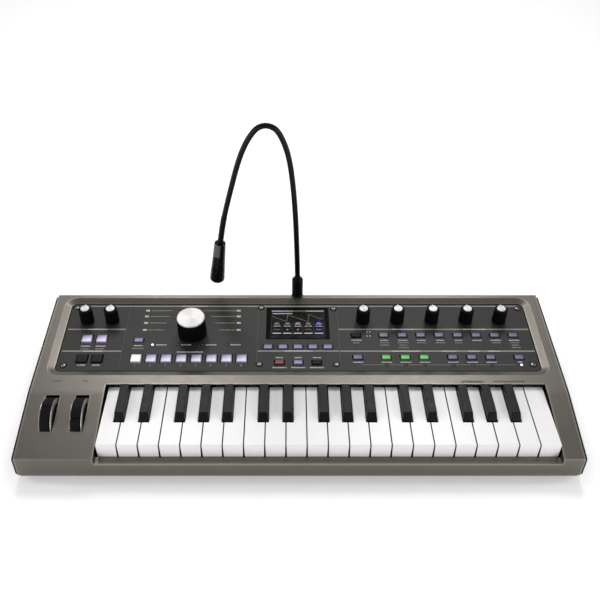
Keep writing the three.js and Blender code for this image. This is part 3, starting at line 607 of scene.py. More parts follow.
def case_openings():
    """The dish, the plate's seat, the key well, the wheel slots and the holes for the sockets."""
    above = REAR_Z + 20
    tools = [
        solid(loft, dish_rings(), matrix=PANEL),
        solid(slab, widened_plate(SEAT_CLEAR), (-PLATE_THICKNESS - GAP, 1), matrix=PANEL),
        solid(
            cuboid, -PLATE_HALF + LEDGE_SIDES, PLATE_HALF - LEDGE_SIDES, PLATE_FRONT + LEDGE_ENDS,
            PLATE_REAR - LEDGE_ENDS, -30, 0.5, matrix=PANEL,
        ),
        solid(
            slab, rounded_rectangle(WELL_LEFT, WELL_RIGHT, y_at(RAIL_DEPTH), y_at(WELL_REAR), 0.8),
            (10, above),
        ),
        solid(cuboid, WELL_LEFT, WELL_RIGHT, y_at(-1), y_at(RAIL_DEPTH + 2), RAIL_Z, above),
        solid(cuboid, WELL_LEFT, WELL_RIGHT, y_at(0.9), y_at(1.35), RAIL_Z - 0.7, RAIL_Z + 1),
    ]
    for node in WHEEL_GROOVES:
        left, right = wheel_x(node) - SLOT_WIDTH / 2, wheel_x(node) + SLOT_WIDTH / 2
        outline = rounded_rectangle(left, right, y_at(SLOT_FRONT), y_at(SLOT_REAR), 0.6)
        tools.append(solid(slab, outline, (27, REAR_Z)))
    through = 5
    for kind, places in SOCKETS.items():
        for x in places:
            outline = circle(SOCKET_BARREL[kind] + GAP + 0.1, 32)
            tools.append(solid(slab, outline, (-through, through), matrix=facing_rear(x, SOCKET_Z)))
    half_width, half_height = USB_WIDTH / 2 + GAP, USB_HEIGHT / 2 + GAP
    tools.append(solid(
        cuboid, USB_X - half_width, USB_X + half_width, y_at(CASE_DEPTH - through),
        y_at(CASE_DEPTH + through), SOCKET_Z - half_height, SOCKET_Z + half_height,
    ))
    tools.append(solid(slab, circle(NECK_RADIUS + GAP, 24), (42, 62), matrix=frame_place(0, MIC_DEPTH)))
    return tools


def top_case():
    """The grey shell: paint outside, and black painted shade in the plate's seat and on the walls of the well
    and the slots.
    """
    half = HALF_WIDTH - END_CAP
    shell = solid(bar_x, case_profile(), -half, half)
    inside = solid(bar_x, case_profile(WALL), -half + END_CAP, half - END_CAP)
    mesh = carve(
        shell,
        [("DIFFERENCE", inside)] + [("UNION", tool) for tool in case_additions()]
        + [("DIFFERENCE", tool) for tool in case_openings()],
    )
    round_edges(mesh, 0.7, 3, where=on_well_edge, angle=50)
    round_edges(mesh, 0.45, 2, where=on_slot_edge, angle=40)
    # Faces in the seat and on the walls of the well and the slots get black as painted shade.
    for face in mesh.faces:
        centre = face.calc_center_median()
        depth = centre.y - FRONT_Y
        upright = abs(face.normal.z) < 0.3
        in_shaded_hollow = is_in_well(centre.x, depth) or is_in_slot(centre.x, depth)
        x, s, n = INTO_PANEL @ centre
        in_shaded_seat = n < -0.05 and abs(x) < PLATE_HALF + 2 and PLATE_FRONT - 2 < s < PLATE_REAR + 2
        if in_shaded_seat or (upright and in_shaded_hollow and centre.z < roof_z(depth) - 1):
            face.material_index = 1
    add_piece("top_case_shell", mesh, [CASE_PAINT, KEYBED_BLACK_AND_SHADE], "case", ["top_case"])


def is_in_well(x, depth):
    """True in the opening for the keys, and on its walls."""
    return WELL_LEFT - 0.1 < x < WELL_RIGHT + 0.1 and RAIL_DEPTH - 0.1 < depth < WELL_REAR + 0.1


def is_in_slot(x, depth):
    """True in the two wheel slots, and on their walls."""
    across = any(abs(x - wheel_x(node)) < SLOT_WIDTH / 2 + 0.1 for node in WHEEL_GROOVES)
    return across and SLOT_FRONT - 0.1 < depth < SLOT_REAR + 0.1


def on_well_edge(edge):
    """True on the upper edges of the key well, the cheeks and the front rail."""
    near = 0.15
    for vertex in edge.verts:
        depth = vertex.co.y - FRONT_Y
        inside = WELL_LEFT - near < vertex.co.x < WELL_RIGHT + near and depth < WELL_REAR + near
        on_roof = vertex.co.z > roof_z(depth) - 0.25
        on_rail = abs(vertex.co.z - RAIL_Z) < near and depth < RAIL_DEPTH + near
        on_cheek = depth < 1.5 and vertex.co.z > RAIL_Z - near
        if not (inside and (on_roof or on_rail or on_cheek)):
            return False
    return True


def on_slot_edge(edge):
    """True on the upper edges of the two wheel slots."""
    return all(
        vertex.co.x < WELL_LEFT - 5
        and SLOT_FRONT - 0.2 < vertex.co.y - FRONT_Y < SLOT_REAR + 0.2
        and vertex.co.z > roof_z(vertex.co.y - FRONT_Y) - 0.2
        for vertex in edge.verts
    ) and abs(edge.verts[0].co.x) < HALF_WIDTH - 5


def end_caps():
    """Black plates that close the two ends of the case."""
    outline = filleted([
        (0.4, SKIRT_Z + 0.2, 2.4), (CASE_DEPTH - 0.6, SKIRT_Z + 0.2, 2.4),
        (CASE_DEPTH - 0.6, REAR_Z - 0.7, 5), (BEND_DEPTH, BEND_Z - 0.25, 70),
        (0.4, CHEEK_FRONT_Z - 0.3, 2.4),
    ])
    for name, x0, x1 in (
        ("end_cap_left", -HALF_WIDTH, -HALF_WIDTH + END_CAP),
        ("end_cap_right", HALF_WIDTH - END_CAP, HALF_WIDTH),
    ):
        mesh = solid(bar_x, outline, x0, x1)
        round_edges(mesh, 0.35, 2, angle=60)
        add_piece(name, mesh, [END_CAP_BLACK], "case")


def feet():
    """Turned rubber pads round the four feet."""
    for side, x in (("left", -250), ("right", 250)):
        for end, depth in (("front", 20), ("rear", 203)):
            mesh = solid(tube_ring, 7.15, 8.3, 0.05, 3.8, 40, 0, frame_place(x, depth))
            add_piece(f"foot_pad_{side}_{end}", mesh, [FOOT_RUBBER], "case")


def wheel_x(node):
    """The middle of a wheel, across the case."""
    low, high = box_mm(node)
    return (low.x + high.x) / 2


# ---------------------------------------------------------------- keys

SKIRT_DROP = 11
LIP_REACH = 2.4
BLACK_FRONT, BLACK_REAR = 40.6, 86.4
BLACK_SLOPE = 5.8
WHITE_REAR = 88.5
PIVOT_DEPTH, PIVOT_Z, PIVOT_RADIUS = 112, 27, 4
KEY_NAMES = [joint["child"] for joint in frame["joints"] if joint["child"].startswith("key_")]


def key_arm(mesh, x, width, start_depth, start_z):
    """The arm that runs back under the panel to the key's round pivot."""
    outline = [
        (start_depth, start_z - 5), (PIVOT_DEPTH - 2, PIVOT_Z - 3.5), (PIVOT_DEPTH - 2, PIVOT_Z + 3.5),
        (WHITE_REAR + 2, PIVOT_Z + 3.5), (start_depth, start_z),
    ]
    bar_x(mesh, outline, x - width / 2, x + width / 2)
    pivot = [(PIVOT_DEPTH + depth, PIVOT_Z + z) for depth, z in circle(PIVOT_RADIUS, 24)]
    bar_x(mesh, pivot, x - width / 2, x + width / 2)


def white_key(name, black_left, black_right):
    """A white key with a lip over its front; its tail makes room for the black keys beside it."""
    low, high = box_mm(name)
    left, right, front, top = low.x, high.x, low.y, high.z
    clear = 0.5
    tail_left = max(left, black_left + clear) if black_left is not None else left
    tail_right = min(right, black_right - clear) if black_right is not None else right
    notch = y_at(BLACK_FRONT - 1)
    rear = y_at(WHITE_REAR)
    skirt, lip = top - SKIRT_DROP, low.z + 1.1
    outline = [(left, front + LIP_REACH), (left, front), (right, front), (right, front + LIP_REACH)]
    if tail_right < right:
        outline += [(right, notch), (tail_right, notch)]
    outline += [(tail_right, rear), (tail_left, rear)]
    if tail_left > left:
        outline += [(tail_left, notch), (left, notch)]
    mesh = bmesh.new()
    upper = [mesh.verts.new((x, y, top)) for x, y in outline]
    middle = [mesh.verts.new((x, y, skirt)) for x, y in outline]
    # The lip narrows a little towards its lower edge.
    lowest = [mesh.verts.new((x + (0.4 if x < high.x - 5 else -0.4), y, lip)) for x, y in outline[:4]]
    count = len(outline)
    mesh.faces.new(upper)
    # The skirt's lower face, the lip's lower face and the lip's back.
    mesh.faces.new([middle[0], *middle[:2:-1]])
    mesh.faces.new(lowest[::-1])
    mesh.faces.new((lowest[0], lowest[3], middle[3], middle[0]))
    for i in range(3, count):
        j = (i + 1) % count
        mesh.faces.new((upper[i], upper[j], middle[j], middle[i]))
    # The two ends of the lip, and its front.
    mesh.faces.new((upper[0], upper[1], lowest[1], lowest[0], middle[0]))
    mesh.faces.new((upper[1], upper[2], lowest[2], lowest[1]))
    mesh.faces.new((upper[2], upper[3], middle[3], lowest[3], lowest[2]))
    for vertex in middle[1:3]:
        mesh.verts.remove(vertex)
    bmesh.ops.recalc_face_normals(mesh, faces=mesh.faces)
    round_edges(mesh, 1.3, 4, where=lambda edge: all(
        vertex.co.z > top - 0.01 and vertex.co.y < front + 0.01 for vertex in edge.verts
    ))
    round_edges(mesh, 0.35, 2, angle=40)
    # The key's upright sides take a dark grey: painted shade in the gaps between the keys.
    for face in mesh.faces:
        if abs(face.normal.x) > 0.9:
            face.material_index = 1
    key_arm(mesh, (tail_left + tail_right) / 2, 8, BLACK_FRONT, skirt + 1)
    add_piece(name + "_top", mesh, [KEY_WHITE, KEY_SIDE_SHADE], name, [name])


def black_key(name):
    """A black key with a sloped front and slightly drafted sides."""
    low, high = box_mm(name)
    x = (low.x + high.x) / 2
    half, top = (high.x - low.x) / 2, high.z
    base, shoulder = 36, top - 6.4
    draft = 0.55
    front, rear = y_at(BLACK_FRONT), y_at(BLACK_REAR)
    rings = []
    for z, side, forward in (
        (base, half, front), (shoulder, half - 0.08, front + 0.1), (top, half - draft, front + BLACK_SLOPE),
    ):
        left, right = x - side, x + side
        rings.append([(left, forward, z), (right, forward, z), (right, rear, z), (left, rear, z)])
    mesh = solid(loft, rings)
    bmesh.ops.recalc_face_normals(mesh, faces=mesh.faces)
    round_edges(mesh, 0.75, 3, angle=20, where=lambda edge: all(
        vertex.co.z > base + 1 for vertex in edge.verts
    ))
    key_arm(mesh, x, 5, BLACK_FRONT + 6, base + 0.5)
    add_piece(name + "_top", mesh, [KEY_BLACK], name, [name])


def keys():
    """All keys; each white key is told how near the black keys beside it come."""
    blacks = {name: box_mm(name) for name in KEY_NAMES if "sharp" in name}
    for name in KEY_NAMES:
        if name in blacks:
            black_key(name)
            continue
        low, high = box_mm(name)
        left_of = [b_high.x for b_low, b_high in blacks.values() if b_low.x < low.x < b_high.x]
        right_of = [b_low.x for b_low, b_high in blacks.values() if b_low.x < high.x < b_high.x]
        white_key(name, left_of[0] if left_of else None, right_of[0] if right_of else None)


# ---------------------------------------------------------------- wheels


def wheels():
    """Rubber treads between two polished rims, which cover the outer part of the sides."""
    half = WHEEL_WIDTH / 2
    rim = 1.15
    inner = half - rim - 0.25
    tread_radius, disc_radius = 22.8, 17.4
    sides = 144
    for node, groove_angle in WHEEL_GROOVES.items():
        place = frame_place(wheel_x(node), WHEEL_DEPTH, WHEEL_Z) @ Matrix.Rotation(math.pi / 2, 4, "Y")
        mesh = bmesh.new()
        # The tread's cross-section as (across, radius); its raised part dips at the groove.
        tread = [
            (-inner, 20), (-inner, 21.9), (-inner + 0.5, 22.6), (-inner + 1.2, tread_radius),
            (inner - 1.2, tread_radius), (inner - 0.5, 22.6), (inner, 21.9), (inner, 20),
        ]
        rings = []
        for k in range(sides):
            turn = 2 * math.pi * k / sides
            away = math.remainder(turn - groove_turn(groove_angle), 2 * math.pi)
            dip = 1.5 * max(0.0, 1 - (away / math.radians(4.2)) ** 2)
            limit = tread_radius - dip
            rings.append([
                (min(r, limit) * math.cos(turn), min(r, limit) * math.sin(turn), z) for z, r in tread
            ])
        ring_band(mesh, rings, 0, place)
        for side in (-1, 1):
            section = [
                (half - rim, 17.5), (half - rim, 22.3), (half - rim + 0.25, 22.65), (half - 0.5, 22.75),
                (half - 0.12, 22.4), (half, 21.9), (half, 18.2), (half - 0.5, 17.5),
            ]
            rings = [
                [(r * math.cos(turn), r * math.sin(turn), side * z) for z, r in section]
                for turn in (2 * math.pi * k / sides for k in range(sides))
            ]
            ring_band(mesh, rings, 1, place)
        low, high = box_mm(node)
        axle = (high.x - low.x) / 2
        turned(mesh, plain([
            (2.5, -axle), (2.5, -half + 1), (disc_radius, -half + 0.7), (disc_radius, half - 0.7),
            (2.5, half - 1), (2.5, axle),
        ]), 72, 2, place)
        materials = [TREAD_RUBBER, WHEEL_METAL, WHEEL_SIDE]
        add_piece(node + "_body", mesh, materials, node, [node])


def groove_turn(groove_angle):
    """A groove's angle in the wheel's own section, where 0 points down and 90 degrees is +Y."""
    return math.pi + math.radians(groove_angle)


def ring_band(mesh, rings, material, matrix):
    """A closed ring through sections, the last joined to the first."""
    rows = [[mesh.verts.new(matrix @ Vector(point)) for point in ring] for ring in rings]
    for i, lower in enumerate(rows):
        upper = rows[(i + 1) % len(rows)]
        for a in range(len(lower)):
            b = (a + 1) % len(lower)
            mesh.faces.new((lower[a], lower[b], upper[b], upper[a])).material_index = material


# ---------------------------------------------------------------- panel

SQUARE_CAP = (11.2, 10.8)
SMALL_CAP = (9.6, 5.8)
PROGRAM_ROW, PROGRAM_FIRST_X, PROGRAM_PITCH = 48.2, -173.7, 16.17
PROGRAM_UPPER_X = -174.1
LEFT_COLUMNS = (-231.2, -215)
UPPER_ROW, LOWER_ROW, RIGHT_PITCH = 82.7, 49.9, 20.34
RIGHT_END_X, RIGHT_FIRST_X, RIGHT_SECOND_X, RIGHT_LAST_X = 64.1, 94.6, 165.7, 237
DISPLAY_COLUMNS, DISPLAY_ROW = (-20, 0, 20), 42.6
LAMP_ROW, LEFT_LAMP_ROW = 39.5, 68.8
# The printed section lines, by their places up the slope.
TOP_LINE, UPPER_LINE, LOWER_LINE, DISPLAY_LINE = 128.9, 92.1, 59.2, 59.4


def row(first, pitch, count, s):
    return [(first + pitch * i, s) for i in range(count)]


# Caps of each mat as (places, size, material).
CAPS = {
    "left_button_mat": [
        ([(x, 77.3) for x in LEFT_COLUMNS], SQUARE_CAP, LAVENDER),
        ([(x - 0.3, PROGRAM_ROW) for x in LEFT_COLUMNS], SQUARE_CAP, CAP_BLACK),
        ([(PROGRAM_UPPER_X, 75.1)], SMALL_CAP, LAVENDER_SMALL),
        ([(PROGRAM_FIRST_X, PROGRAM_ROW)], SQUARE_CAP, CAP_WHITE),
        (row(PROGRAM_FIRST_X + PROGRAM_PITCH, PROGRAM_PITCH, 7, PROGRAM_ROW), SQUARE_CAP, LAVENDER),
    ],
    "display_button_mat": [
        (row(-32.5, 16.25, 5, 65.2), SMALL_CAP, LAVENDER_SMALL),
        ([(DISPLAY_COLUMNS[0], DISPLAY_ROW)], SMALL_CAP, CAP_RED),
        ([(DISPLAY_COLUMNS[1], DISPLAY_ROW)], SMALL_CAP, LAVENDER_SMALL),
        ([(DISPLAY_COLUMNS[2], DISPLAY_ROW)], SMALL_CAP, CAP_BLACK),
    ],
    "right_button_mat": [
        ([(RIGHT_END_X, UPPER_ROW)], SMALL_CAP, CAP_BLACK),
        (row(RIGHT_FIRST_X, RIGHT_PITCH, 8, UPPER_ROW), SMALL_CAP, LAVENDER_DIM),
        ([(RIGHT_END_X, LOWER_ROW)], SMALL_CAP, LAVENDER_DIM),
        (row(RIGHT_FIRST_X, RIGHT_PITCH, 3, LOWER_ROW), SMALL_CAP, CAP_GREEN),
        (row(RIGHT_SECOND_X, RIGHT_PITCH, 3, LOWER_ROW), SMALL_CAP, LAVENDER_DIM),
        ([(RIGHT_LAST_X, LOWER_ROW)], SMALL_CAP, LAVENDER_DIM),
    ],
}
CAP_HEIGHT = 1.5
MAT_TOP = -2.3
CAP_CLEARANCE = 1.1
SCREW_PLACES = [
    (-251.6, 126.4), (-249.6, 38.5), (-41.3, 126.6), (-41.4, 40.1), (41.1, 124.8), (41, 39.8),
    (250.7, 125.1), (249.8, 39.8),
]
LIT_LAMPS = [(-158.5, LEFT_LAMP_ROW), (237.5, LAMP_ROW)]
DARK_LAMPS = row(-130.9, 27, 3, LEFT_LAMP_ROW) + row(94.3, 20.5, 3, LAMP_ROW) + row(165.5, 20.7, 3, LAMP_ROW)


def control_panel():
    """The plate, with an opening for each cap, each knob's shaft and the window."""
    plate = solid(slab, widened_plate(0), (-PLATE_THICKNESS, 0), matrix=PANEL)
    through = (-5, 5)
    holes = bmesh.new()
    for groups in CAPS.values():
        for places, (width, length), _ in groups:
            for x, s in places:
                w, h = width / 2 + CAP_CLEARANCE, length / 2 + CAP_CLEARANCE
                slab(holes, rounded_rectangle(x - w, x + w, s - h, s + h, 1.1, 3), through, matrix=PANEL)
    for hinge in KNOB_HINGES.values():
        x, s, _ = INTO_PANEL @ hinge
        slab(holes, circle(3.6, 24), through, matrix=on_panel(x, s))
    slab(holes, rounded_rectangle(
        -WINDOW_HALF - GAP, WINDOW_HALF + GAP, WINDOW_FRONT - GAP, WINDOW_REAR + GAP, 0.8, 3,
    ), through, matrix=PANEL)
    mesh = carve(plate, [("DIFFERENCE", holes)])
    round_edges(mesh, 0.28, 2, where=lambda edge: all(
        abs((INTO_PANEL @ vertex.co).z) < 0.05 for vertex in edge.verts
    ), angle=50)
    # The walls of the openings take the mat's dark colour as painted shade in the gaps round the caps.
    for face in mesh.faces:
        x, s, n = INTO_PANEL @ face.calc_center_median()
        is_inside = abs(x) < PLATE_HALF - 1 and PLATE_FRONT + 1 < s < PLATE_REAR - 1
        if is_inside and -PLATE_THICKNESS + 0.1 < n < -0.2:
            face.material_index = 1
    add_piece("panel_plate", mesh, [PLATE_PAINT, MAT_RUBBER], "case", ["control_panel"])


def lay_flat(faces, layer, matrix):
    """Gives each corner of some faces flat coordinates: its X and Y once a matrix has carried it."""
    for face in faces:
        for corner in face.loops:
            corner[layer].uv = (matrix @ corner.vert.co).xy


def button_mats():
    """Each mat is a dark rubber sheet under the plate, with translucent caps that stand up through it."""
    reach = 6.8
    for mat, groups in CAPS.items():
        mesh = bmesh.new()
        across = mesh.loops.layers.uv.new("across_cap")
        materials = [MAT_RUBBER]
        for places, (width, length), material in groups:
            if material not in materials:
                materials.append(material)
            for x, s in places:
                w, h = width / 2, length / 2
                faces = pad(
                    mesh, x - w, x + w, s - h, s + h, MAT_TOP - 0.1, CAP_HEIGHT, 0.7, 0.55,
                    materials.index(material), PANEL,
                )
                to_share = Matrix.Diagonal((1 / width, 1 / length, 1, 1))
                lay_flat(faces, across, to_share @ on_panel(x - w, s - h).inverted())
        all_x = [x for group in groups for x, s in group[0]]
        all_s = [s for group in groups for x, s in group[0]]
        outline = rounded_rectangle(
            min(all_x) - reach, max(all_x) + reach,
            max(min(all_s) - reach, PLATE_FRONT + LEDGE_ENDS + GAP), max(all_s) + reach, 2,
        )
        slab(mesh, outline, (MAT_TOP - 1.4, MAT_TOP), 0, PANEL)
        add_piece(mat + "_caps", mesh, materials, mat, [mat])


def knob(node, body, disc, ribs, ripple, disc_sides, pointer=None):
    """A ribbed body from (radius, height, grooved) rows, a metal disc on it, and perhaps a pointer."""
    place = Matrix.Translation(KNOB_HINGES[node]) @ PANEL.to_3x3().to_4x4()
    mesh = bmesh.new()
    across = mesh.loops.layers.uv.new("across_cap")
    shaft = [(3, -3.2, False), (3, 0.6, False)]
    turned(mesh, shaft + body, ribs * 6, 0, place, ripple, ribs)
    faces = turned(mesh, plain(disc), disc_sides, 1, place)
    lay_flat(faces, across, place.inverted())
    materials = [KNOB_BLACK, CAP_METAL]
    if pointer:
        pad(mesh, -0.4, 0.4, -0.75, 0.75, -0.5, 0.3, 0.2, 0.15, 2, place @ Matrix.Translation(pointer))
        materials.append(POINTER_WHITE)
    add_piece(node + "_grip", mesh, materials, node, [node])


def small_knob(node):
    """A knob with a small disc and a pointer on its shoulder."""
    radius, top_radius, cap_radius, height = 7.6, 7.35, 4.7, 20
    shoulder = height - 1.7
    body = [
        (radius - 0.5, 0.6, False), (radius, 1.1, False), (radius, 1.8, False), (radius, 2.4, True),
        (top_radius, shoulder - 0.6, True), (top_radius - 0.1, shoulder, False),
        (top_radius - 0.5, shoulder + 0.35, False), (cap_radius + 0.9, height - 0.75, False),
        (cap_radius + 0.35, height - 0.6, False), (cap_radius + 0.3, height - 1.0, False),
        (cap_radius + 0.1, height - 1.0, False),
    ]
    disc = [
        (cap_radius, height - 1.4), (cap_radius, height - 0.35), (cap_radius - 0.12, height - 0.12),
        (cap_radius - 0.4, height), (cap_radius * 0.66, height - 0.02), (cap_radius * 0.33, height - 0.04),
    ]
    knob(node, body, disc, 20, 0.32, 64, pointer=(0, cap_radius + 0.95, height - 0.9))


def large_dial(node):
    """The selector dial, with a disc over nearly the whole top."""
    radius, cap_radius, height = 15.8, 15, 25
    body = [
        (radius - 0.5, 0.6, False), (radius, 1.1, False), (radius, 2, False), (radius - 0.02, 2.6, True),
        (radius - 0.5, height - 3.2, True), (radius - 0.52, height - 2.6, False),
        (radius - 0.7, height - 1.6, False), (radius - 0.9, height - 1.5, False),
    ]
    disc = [
        (cap_radius, height - 1.5), (cap_radius + 0.15, height - 1.2), (cap_radius - 0.2, height - 0.35),
        (cap_radius - 0.55, height - 0.05), (cap_radius - 0.9, height), (9.5, height - 0.05),
        (4.5, height - 0.08),
    ]
    knob(node, body, disc, 60, 0.22, 96)


def knobs():
    for node in KNOB_HINGES:
        if node == "selector_dial":
            large_dial(node)
        else:
            small_knob(node)


def display():
    """The black window over the screen."""
    mesh = solid(
        pad, -WINDOW_HALF, WINDOW_HALF, WINDOW_FRONT, WINDOW_REAR, -PLATE_THICKNESS, 0.02, 0.6, 0.18,
        matrix=PANEL,
    )
    add_piece("display_glass", mesh, [WINDOW_BLACK], "case", ["display_window"])


def mark(mesh, x0, x1, s0, s1, material, low=0.02, high=0.1, matrix=PANEL):
    """A thin raised patch of ink or light."""
    cuboid(mesh, x0, x1, s0, s1, low, high, material, matrix)


def stroke(mesh, x0, s0, x1, s1, width, material, low=0.02, high=0.1):
    """A thin line between two places on the panel."""
    along = Vector((x1 - x0, s1 - s0)).normalized() * width / 2
    side = Vector((-along.y, along.x))
    corners = [(x0 - side.x, s0 - side.y), (x1 - side.x, s1 - side.y), (x1 + side.x, s1 + side.y),
               (x0 + side.x, s0 + side.y)]
    slab(mesh, corners, (low, high), material, PANEL)


def word(mesh, x, s, length, height, material, draw, low=0.02, high=0.09, matrix=PANEL):
    """A row of small bars that stands for a printed word, centred on a place."""
    at = x - length / 2
    while at < x + length / 2:
        width = draw.uniform(0.55, 0.95)
        drop = draw.choice((0, 0, 0.25)) * height
        mark(mesh, at, at + width * 0.72, s - height / 2, s + height / 2 - drop, material, low, high, matrix)
        at += width


def screen():
    """What the display shows: a header, a saw wave and five columns of controls with labels."""
    mesh = bmesh.new()
    draw = random.Random(7)
    back, white, band, amber, red, blue, pale, violet = range(8)
    width = SCREEN_RIGHT - SCREEN_LEFT

    def patch(x0, x1, s0, s1, color, low, high):
        mark(mesh, x0, x1, s0, s1, color, low, high)

    patch(SCREEN_LEFT - 1.2, SCREEN_RIGHT + 1.2, SCREEN_FRONT - 1.2, SCREEN_REAR + 1.2, back, 0.03, 0.06)
    patch(SCREEN_LEFT, SCREEN_RIGHT, SCREEN_REAR - 2.4, SCREEN_REAR, band, 0.05, 0.08)
    header = SCREEN_REAR - 1.2
    word(mesh, SCREEN_LEFT + 0.2 * width, header, 0.4 * width, 1.1, white, draw, 0.07, 0.1)
    word(mesh, SCREEN_LEFT + 0.83 * width, header, 0.34 * width, 1.1, white, draw, 0.07, 0.1)
    word(mesh, SCREEN_LEFT + 0.21 * width, SCREEN_REAR - 5.2, 0.38 * width, 1.6, white, draw, 0.05, 0.1)
    top, bottom = SCREEN_REAR - 6.8, SCREEN_REAR - 18.2
    wave = [(0.0, 0.75), (0.29, 0.05), (0.305, 0.97), (0.695, 0.0), (0.71, 1.0), (0.98, 0.33)]
    for (u0, v0), (u1, v1) in zip(wave, wave[1:]):
        stroke(
            mesh, SCREEN_LEFT + u0 * width, bottom + v0 * (top - bottom),
            SCREEN_LEFT + u1 * width, bottom + v1 * (top - bottom), 0.38, amber, 0.05, 0.1,
        )
    dome = [(3.3 * math.cos(math.pi * k / 12), 3.9 * math.sin(math.pi * k / 12)) for k in range(13)]
    for i, color in enumerate((red, blue, pale, red, violet)):
        x = SCREEN_LEFT + (i + 0.5) * width / 5
        place = on_panel(x, SCREEN_REAR - 22.8)
        slab(mesh, dome, (0.05, 0.08), color, place)
        if color != violet:
            word(mesh, x, SCREEN_REAR - 21.6, 2.2, 1.5, pale, draw, 0.07, 0.11)
        word(mesh, x, SCREEN_REAR - 25.2, 7.4, 1.1, white, draw, 0.05, 0.11)
        if color in (red, violet):
            word(mesh, x, SCREEN_REAR - 30.4, 6.4, 1.7, color, draw, 0.05, 0.11)
        else:
            slab(mesh, circle(1.1, 12), (0.05, 0.11), pale, place @ Matrix.Translation((0, -7.8, 0)))
        patch(x - 4.6, x + 4.6, SCREEN_FRONT + 6.0, SCREEN_FRONT + 7.3, white, 0.05, 0.1)
    for i in range(6):
        x = SCREEN_LEFT + i * width / 5
        patch(x - 0.1, x + 0.1, SCREEN_FRONT + 6.0, SCREEN_REAR - 19.4, band, 0.05, 0.09)
    materials = [
        SCREEN_BACK, SCREEN_WHITE, SCREEN_BAND, SCREEN_AMBER,
        SCREEN_RED, SCREEN_BLUE, SCREEN_PALE, SCREEN_VIOLET,
    ]
    add_piece("display_picture", mesh, materials, "case")


DIVIDERS_X = (-190.4, -44.4, 45)
# The rows of names beside the dial, as (left tag x, left word length, right tag x, right word length, s).
DIAL_ROWS = [
    (-169.9, 22.7, -66.8, 37, 121.8), (-170.1, 20.7, -66.4, 27.2, 112.5),
    (-169.8, 18.7, -66, 22.4, 102.2), (-169.7, 16.6, -65.6, 16.6, 91.3),
]
LEFT_WORDS_START, RIGHT_WORDS_END = -165.4, -69.9
DIAL_LEFT, DIAL_RIGHT = -133, -98  # where the lines that lead to the dial end


def print_lines(mesh):
    """Section lines of the panel: broad grey bands, thin dividers and the lines that lead to the dial."""
    band, faint = 1, 2
    left, mid, right = DIVIDERS_X
    for s in (UPPER_LINE, LOWER_LINE):
        stroke(mesh, -255, s, left - 0.6, s, 1.9, band)
        stroke(mesh, right + 0.6, s, 256, s, 1.9, band)
    stroke(mesh, mid + 0.6, DISPLAY_LINE, right - 0.6, DISPLAY_LINE, 1.9, band)
    for x in DIVIDERS_X:
        stroke(mesh, x, 33, x, 127, 0.4, faint)
    stroke(mesh, -249, TOP_LINE, 251, TOP_LINE, 1.9, band)
    stroke(mesh, 68, LAMP_ROW, 232, LAMP_ROW, 0.45, band, 0.02, 0.06)
    for _, left_length, _, right_length, s in DIAL_ROWS:
        level = s - 1.2
        stroke(mesh, LEFT_WORDS_START + left_length + 1, level, DIAL_LEFT, level, 0.35, faint)
        stroke(mesh, DIAL_RIGHT, level, RIGHT_WORDS_END - right_length + 1.2, level, 0.35, faint)


def print_words(mesh):
    """Words of the panel, as rows of bars, and the pale tags beside the dial."""
    pale, grey = 0, 1
    draw = random.Random(3)
    size, small_size = 1.5, 1.4

    def title(x, s, length):
        """A word on one of the broad section lines."""
        word(mesh, x, s, length, 1.7, pale, draw, 0.1, 0.16)

    def label(x, s, length, ink=pale, height=size):
        word(mesh, x, s, length, height, ink, draw)

    for left_x, left_length, right_x, right_length, s in DIAL_ROWS:
        for x in (left_x, right_x):
            mark(mesh, x - 2.2, x + 2.2, s - 1.3, s + 1.3, pale)
        label(LEFT_WORDS_START + left_length / 2, s, left_length, grey)
        label(RIGHT_WORDS_END - right_length / 2, s, right_length, grey)
    title(-117, TOP_LINE, 30)
    for x in LEFT_COLUMNS:
        label(x, 66.6, 10)
        label(x, 62.6, 9, grey)
        label(x, 39.0, 8)
    title(-222, UPPER_LINE, 20)
    title(-222, LOWER_LINE, 20)
    label(PROGRAM_UPPER_X, 67.4, 9)
    label(PROGRAM_UPPER_X, 63.2, 12, grey)
    for i in range(4):
        label(-149 + 27 * i, 68.6, 11)
    label(-117, 58, 28, height=1.6)
    title(0, DISPLAY_LINE, 30)
    for x in DISPLAY_COLUMNS:
        label(x, 49.8, 8)
        label(x, 35.6, 15)
    label(RIGHT_END_X, 75.6, 11)
    label(RIGHT_END_X, 71.8, 7, grey)
    for (x, _), line_count in zip(row(RIGHT_FIRST_X, RIGHT_PITCH, 8, UPPER_ROW), (3, 4, 2, 2, 2, 1, 2, 4)):
        for k in range(line_count):
            label(x, 75.4 - 3.6 * k, draw.uniform(7, 12), grey if k else pale, small_size)
    triples = [row(first, RIGHT_PITCH, 3, 43.2) for first in (RIGHT_FIRST_X, RIGHT_SECOND_X)]
    for x, s in [(RIGHT_END_X, 43.2), *triples[0], *triples[1]]:
        label(x, s, 11, height=small_size)
    label(RIGHT_LAST_X, 43.6, 5, height=small_size)
    for x in (117, 196):
        title(x, UPPER_LINE, 24)
    for x, length in ((117, 30), (163, 16), (190, 12), (212, 14)):
        title(x, LOWER_LINE, length)
    for x, s in ((76.5, 88.1), (79.8, 88.1), (76.5, 81.9), (79.8, 81.9)):
        mark(mesh, x - 0.7, x + 0.7, s - 0.7, s + 0.7, pale)


def print_numbers():
    """The numbers 1 to 8 under the program buttons."""
    for i in range(8):
        text = bpy.data.curves.new(f"number_{i + 1}", "FONT")
        text.body = str(i + 1)
        text.align_x = "CENTER"
        text.align_y = "CENTER"
        text.size = 2.6 * MM
        text.extrude = 0.03 * MM
        text.materials.append(PRINT_PALE)
        number = bpy.data.objects.new(f"number_{i + 1}", text)
        bpy.context.scene.collection.objects.link(number)
        place = on_panel(PROGRAM_FIRST_X + PROGRAM_PITCH * i, 38.6, 0.06)
        place.translation *= MM
        number.matrix_world = place
        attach(number, "case")


